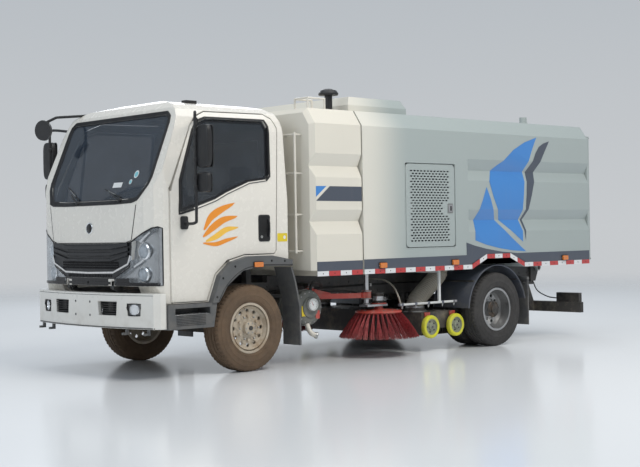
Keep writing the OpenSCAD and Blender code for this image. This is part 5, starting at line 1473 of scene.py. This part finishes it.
# mudflaps: ribs, serrated lower edge and bolts; module's lower front panel
p = Part("mudflap_details", "chassis", "grey_plastic")
for s, side in SIDES:
    for k in range(8):
        y = 0.728 + 0.028 * k
        p.slab([(1.349, s * y, 0.330), (1.349, s * (y + 0.028), 0.330), (1.349, s * (y + 0.028), 0.222),
            (1.349, s * (y + 0.014), 0.201), (1.349, s * y, 0.222)],
               (-0.006, 0, 0), "rubber")
    for k in range(5):
        p.slab([(1.3500, s * (0.752 + 0.045 * k), 0.340), (1.3500, s * (0.760 + 0.045 * k), 0.340),
            (1.3500, s * (0.760 + 0.045 * k), 0.540),
                (1.3500, s * (0.752 + 0.045 * k), 0.540)], (-0.005, 0, 0), "grey")
    for y in (0.60, 0.75, 0.90, 1.03):
        p.bolt((RA - 0.530, s * y, 0.668), (-1, 0, 0), 0.010)
        p.bolt((RA - 0.515, s * y, 0.668), (1, 0, 0), 0.010)
    for k in range(10):
        y = 0.585 + 0.048 * k
        p.slab([(RA - 0.5305, s * y, 0.230), (RA - 0.5305, s * (y + 0.012), 0.230),
            (RA - 0.5305, s * (y + 0.012), 0.620), (RA - 0.5305, s * y, 0.620)],
               (-0.004, 0, 0), "rubber")
p.done(bevel=0.001)

# ---------------------------------------------------------------- rear wheel fenders
FENDER_R = 0.474
p = Part("rear_fenders", "chassis", "grey_plastic")
for s, side in SIDES:
    ring = [(RA + r * math.cos(t), AXLE_Z + r * math.sin(t)) for r,
        order in ((FENDER_R, 1), (FENDER_R + 0.006, -1))
            for t in [math.radians(4 + 4 * k) for k in range(42)][::order]]
    p.slab([(x, s * 0.565, z) for x, z in ring], (0, s * 0.515, 0), "slate")
    for y in (0.575, 1.070):
        p.tube([(RA + (FENDER_R + 0.004) * math.cos(t), s * y, AXLE_Z + (FENDER_R + 0.004) * math.sin(t))
                for t in (math.radians(4 + 4 * k) for k in range(42))], 0.008, "slate", 8)
    for t in (math.radians(40), math.radians(140)):
        x, z = RA + FENDER_R * math.cos(t), AXLE_Z + FENDER_R * math.sin(t)
        p.tube([(x, s * 0.420, z - 0.03), (x, s * 0.575, z + 0.006), (x, s * 1.05, z + 0.010)], 0.012,
            "frame", 10)
p.done(angle=40)

# ---------------------------------------------------------------- rear end
BACK = -3.110
p = Part("rear_door_fittings", "rear_door", "body_paint")
for s in (1, -1):
    y = s * 0.965
    p.tube([(BACK - 0.014, y, 0.93), (BACK - 0.014, y, 2.29)], 0.0105, "bolt", 14)
    for z in (0.98, 1.30, 1.62, 1.94, 2.25):
        p.box((BACK - 0.026, y - 0.030, z - 0.020), (BACK - 0.0005, y + 0.030, z + 0.020), "hopper_rear")
        for d in (-0.021, 0.021):
            p.bolt((BACK - 0.026, y + d, z), (-1, 0, 0), 0.0045, h=0.003)
    p.tube(curve([(BACK - 0.018, y, 1.46), (BACK - 0.024, y - s * 0.05, 1.455),
        (BACK - 0.024, y - s * 0.22, 1.44)], 5), 0.009, "black", 12)
    for z in (1.20, 1.90):
        p.lathe([(0.030, 0), (0.028, 0.008), (0.018, 0.011), (0, 0.012)], (BACK, s * 0.55, z), (-1, 0, 0),
            "rubber", 24)
    edge = [(BACK - 0.001, s * a, b) for a, b in rounded(0.02, 1.078, 0.888, 2.322, 0.02)]
    p.tube([q for q in edge if abs(q[1]) > 0.03], 0.006, "rubber", 8)
    for k in range(7):
        a, b = 0.010 + 0.152 * k, 0.158 + 0.152 * k
        p.slab([(BACK - 0.0005, s * a, 0.894), (BACK - 0.0005, s * b, 0.894), (BACK - 0.0005, s * b, 0.940),
            (BACK - 0.0005, s * a, 0.940)],
               (-0.0015, 0, 0), "red_tape" if k % 2 else "white_tape")
for z0, z1, y0, y1 in ((1.10, 1.165, -0.70, -0.40), (1.10, 1.165, 0.40, 0.70)):
    p.slab([(BACK - 0.0005, y, z) for y, z in rounded(y0, y1, z0, z1, 0.01)], (-0.004, 0, 0), "slate")
# round inspection hatch between the ribs
p.lathe([(0.150, 0), (0.150, 0.010), (0.142, 0.014), (0.100, 0.014), (0.096, 0.010), (0, 0.010)],
    (BACK, 0, 1.62), (-1, 0, 0), "hopper_rear", 56)
for k in range(8):
    t = math.radians(45 * k + 22.5)
    p.bolt((BACK - 0.014, 0.121 * math.cos(t), 1.62 + 0.121 * math.sin(t)), (-1, 0, 0), 0.0075)
p.done(bevel=0.0015, angle=35)

GUARD_X, GUARD_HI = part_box("underride_guard")[0].x, 0.395
p = Part("rear_lamps", "chassis", "lamp")
for s in (1, -1):
    lo, hi = sorted((s * 0.700, s * 1.020))
    p.box((GUARD_X + 0.002, lo, GUARD_HI), (GUARD_X + 0.060, hi, GUARD_HI + 0.108), "black")
    for k, mat in enumerate(("red_lens", "red_lens", "amber_lens", "white_lens")):
        y = 0.706 + 0.079 * k
        face = [(GUARD_X + 0.002, s * a, b) for a,
            b in rounded(y, y + 0.073, GUARD_HI + 0.010, GUARD_HI + 0.098, 0.010)]
        p.slab(face, (-0.010, 0, 0), mat)
    p.tube(curve([(GUARD_X + 0.06, s * 0.72, GUARD_HI + 0.04), (GUARD_X + 0.12, s * 0.62, GUARD_HI + 0.06),
                  (GUARD_X + 0.16, s * 0.50, GUARD_HI + 0.13), (GUARD_X + 0.17, s * 0.44, 0.64)], 6), 0.007,
                  "rubber", 8)
    for k in range(4):
        a, b = 0.290 + 0.152 * k, 0.438 + 0.152 * k
        p.slab([(GUARD_X - 0.0005, s * a, 0.310), (GUARD_X - 0.0005, s * b, 0.310),
            (GUARD_X - 0.0005, s * b, 0.358), (GUARD_X - 0.0005, s * a, 0.358)],
               (-0.0015, 0, 0), "white_tape" if k % 2 else "red_tape")
    p.slab([(GUARD_X + 0.03 + a, s * 1.0395, 0.335 + b) for a,
        b in rounded(-0.026, 0.026, -0.055, 0.055, 0.008)], (0, s * 0.003, 0), "rubber")
p.slab([(GUARD_X - 0.001, y, z) for y, z in rounded(-0.220, 0.220, 0.280, 0.390, 0.012)], (-0.003, 0, 0),
    "white")
for y in (-0.15, 0.15):
    p.bolt((GUARD_X - 0.004, y, 0.335), (-1, 0, 0), 0.006, h=0.004)
p.done(bevel=0.0015)

# ---------------------------------------------------------------- frame: rivets, brackets, pipes and a lower dark strip
p = Part("frame_details", "chassis", "frame_paint")
for s, side in SIDES:
    x = -2.75
    while x < 2.85:
        for z in (0.640, 0.742):
            p.lathe([(0.012, 0), (0.010, 0.005), (0.005, 0.007), (0, 0.0075)], (x, s * 0.420, z), (0, s, 0),
                "frame", 12)
        x += 0.14
    p.tube(curve([(2.6, s * 0.432, 0.700), (1.9, s * 0.434, 0.706), (0.9, s * 0.432, 0.695),
        (-0.2, s * 0.434, 0.704), (-1.3, s * 0.432, 0.70),
                  (-2.6, s * 0.432, 0.70)], 8), 0.009, "rubber", 8)
    for x in (-1.95, -1.1, -0.1, 1.9):
        p.box((x - 0.012, min(s * 0.420, s * 0.446), 0.686), (x + 0.012, max(s * 0.420, s * 0.446), 0.716),
            "bolt")
    # spring eyes and clips
    for x0, x1 in ((FA - 0.6, FA + 0.58), (RA - 0.6, RA + 0.6)):
        for x in (x0, x1):
            p.lathe([(0.034, -0.045), (0.036, -0.04), (0.036, 0.04), (0.034, 0.045), (0.014, 0.046),
                (0.014, 0.058), (0, 0.058)],
                    (x, s * 0.385, 0.580), (0, s, 0), "cast", 24)
    for x in (FA - 0.05, FA + 0.05, RA - 0.05, RA + 0.05):
        z = 0.43 if x > 0 else 0.335
        p.tube([(x, s * 0.346, z - 0.03), (x, s * 0.346, 0.535), (x, s * 0.424, 0.535),
            (x, s * 0.424, z - 0.03)], 0.007, "cast", 8)
p.done(bevel=0.001)
p = Part("lower_grille_strip", "cab", "grey_plastic")
on_surface(p, front, [(-0.600, 0.8165), (0.600, 0.8165), (0.600, 0.884), (-0.600, 0.884)], "front",
    "gloss_black", 0.0018)
LUG = [(1.020, 0.829), (1.054, 0.781), (1.080, 0.777), (1.101, 0.799), (1.101, 0.850), (1.073, 0.880),
    (1.060, 0.880)]
for s in (1, -1):
    p.slab([(FA + x, s * 0.3155, z) for x, z in LUG], (0, s * 0.031, 0), "gloss_black")
p.done()

# ---------------------------------------------------------------- floor, light and camera
floor = bpy.data.meshes.new("floor")
floor.from_pydata([(x * 90, y * 90, 0) for x, y in ((-1, -1), (1, -1), (1, 1), (-1, 1))], [], [(0, 1, 2, 3)])
floor = bpy.data.objects.new("floor", floor)
scene.collection.objects.link(floor)
g = Mat("studio_floor", 0.16, spec=0.35)
radius = g.n.new("ShaderNodeVectorMath")
radius.operation = "LENGTH"
g.l.new(g.co, radius.inputs[0])
g.feed("Base Color", g.mix(g.noise(0.4, 3), (0.80, 0.82, 0.845), (0.84, 0.855, 0.87)))
g.feed("Alpha", g.span(radius.outputs["Value"], 9.0, 26.0, 1.0, 0.0))
floor.data.materials.append(g.m)

world = bpy.data.worlds.new("studio")
scene.world = world
world.use_nodes = True
wn, wl = world.node_tree.nodes, world.node_tree.links
sky = wn.new("ShaderNodeTexCoord").outputs["Generated"]
sep = wn.new("ShaderNodeSeparateXYZ")
wl.new(sky, sep.inputs[0])
band = wn.new("ShaderNodeValToRGB")
wl.new(sep.outputs[2], band.inputs[0])
stops = ((0.0, (0.86, 0.89, 0.92)), (0.10, (0.80, 0.84, 0.88)), (0.35, (0.60, 0.67, 0.74)),
    (1.0, (0.50, 0.58, 0.66)))
for i, (at, c) in enumerate(stops):
    e = band.color_ramp.elements[i] if i < 2 else band.color_ramp.elements.new(at)
    e.position, e.color = at, (*c, 1)
wl.new(band.outputs[0], wn["Background"].inputs[0])
wn["Background"].inputs[1].default_value = 0.66


def area(name, at, look, size, power, col):
    lamp = bpy.data.lights.new(name, "AREA")
    lamp.shape, lamp.size, lamp.size_y = "RECTANGLE", size[0], size[1]
    lamp.energy, lamp.color = power, col
    o = bpy.data.objects.new(name, lamp)
    scene.collection.objects.link(o)
    o.location = at
    o.rotation_euler = (Vector(look) - Vector(at)).to_track_quat("-Z", "Y").to_euler()


area("key", (0.5, 8.0, 10.5), (0, 0, 1.0), (7, 4), 900, (1.0, 0.96, 0.90))
area("front", (10.0, 1.0, 5.5), (2.5, 0, 1.2), (5, 4), 150, (0.86, 0.92, 1.0))
area("fill", (-6.0, -9.0, 7.0), (0, 0, 1.0), (8, 5), 340, (0.92, 0.95, 1.0))
area("top", (0.0, 0.0, 10.0), (0, 0, 0), (10, 6), 300, (0.97, 0.98, 1.0))

look = view_direction()
right = look.cross(Vector((0, 0, 1))).normalized()
up = right.cross(look)
right, up = right * math.cos(roll) + up * math.sin(roll), up * math.cos(roll) - right * math.sin(roll)
cam = bpy.data.cameras.new("camera")
cam.sensor_width = 36.0
cam.lens = 72.58
cam.clip_end = 200
camera = bpy.data.objects.new("camera", cam)
scene.collection.objects.link(camera)
m = Matrix((right, up, -look)).transposed().to_4x4()
m.translation = Vector((9.4823, 10.0014, 1.2583))
camera.matrix_world = m
scene.camera = camera
scene.view_settings.view_transform = "Standard"
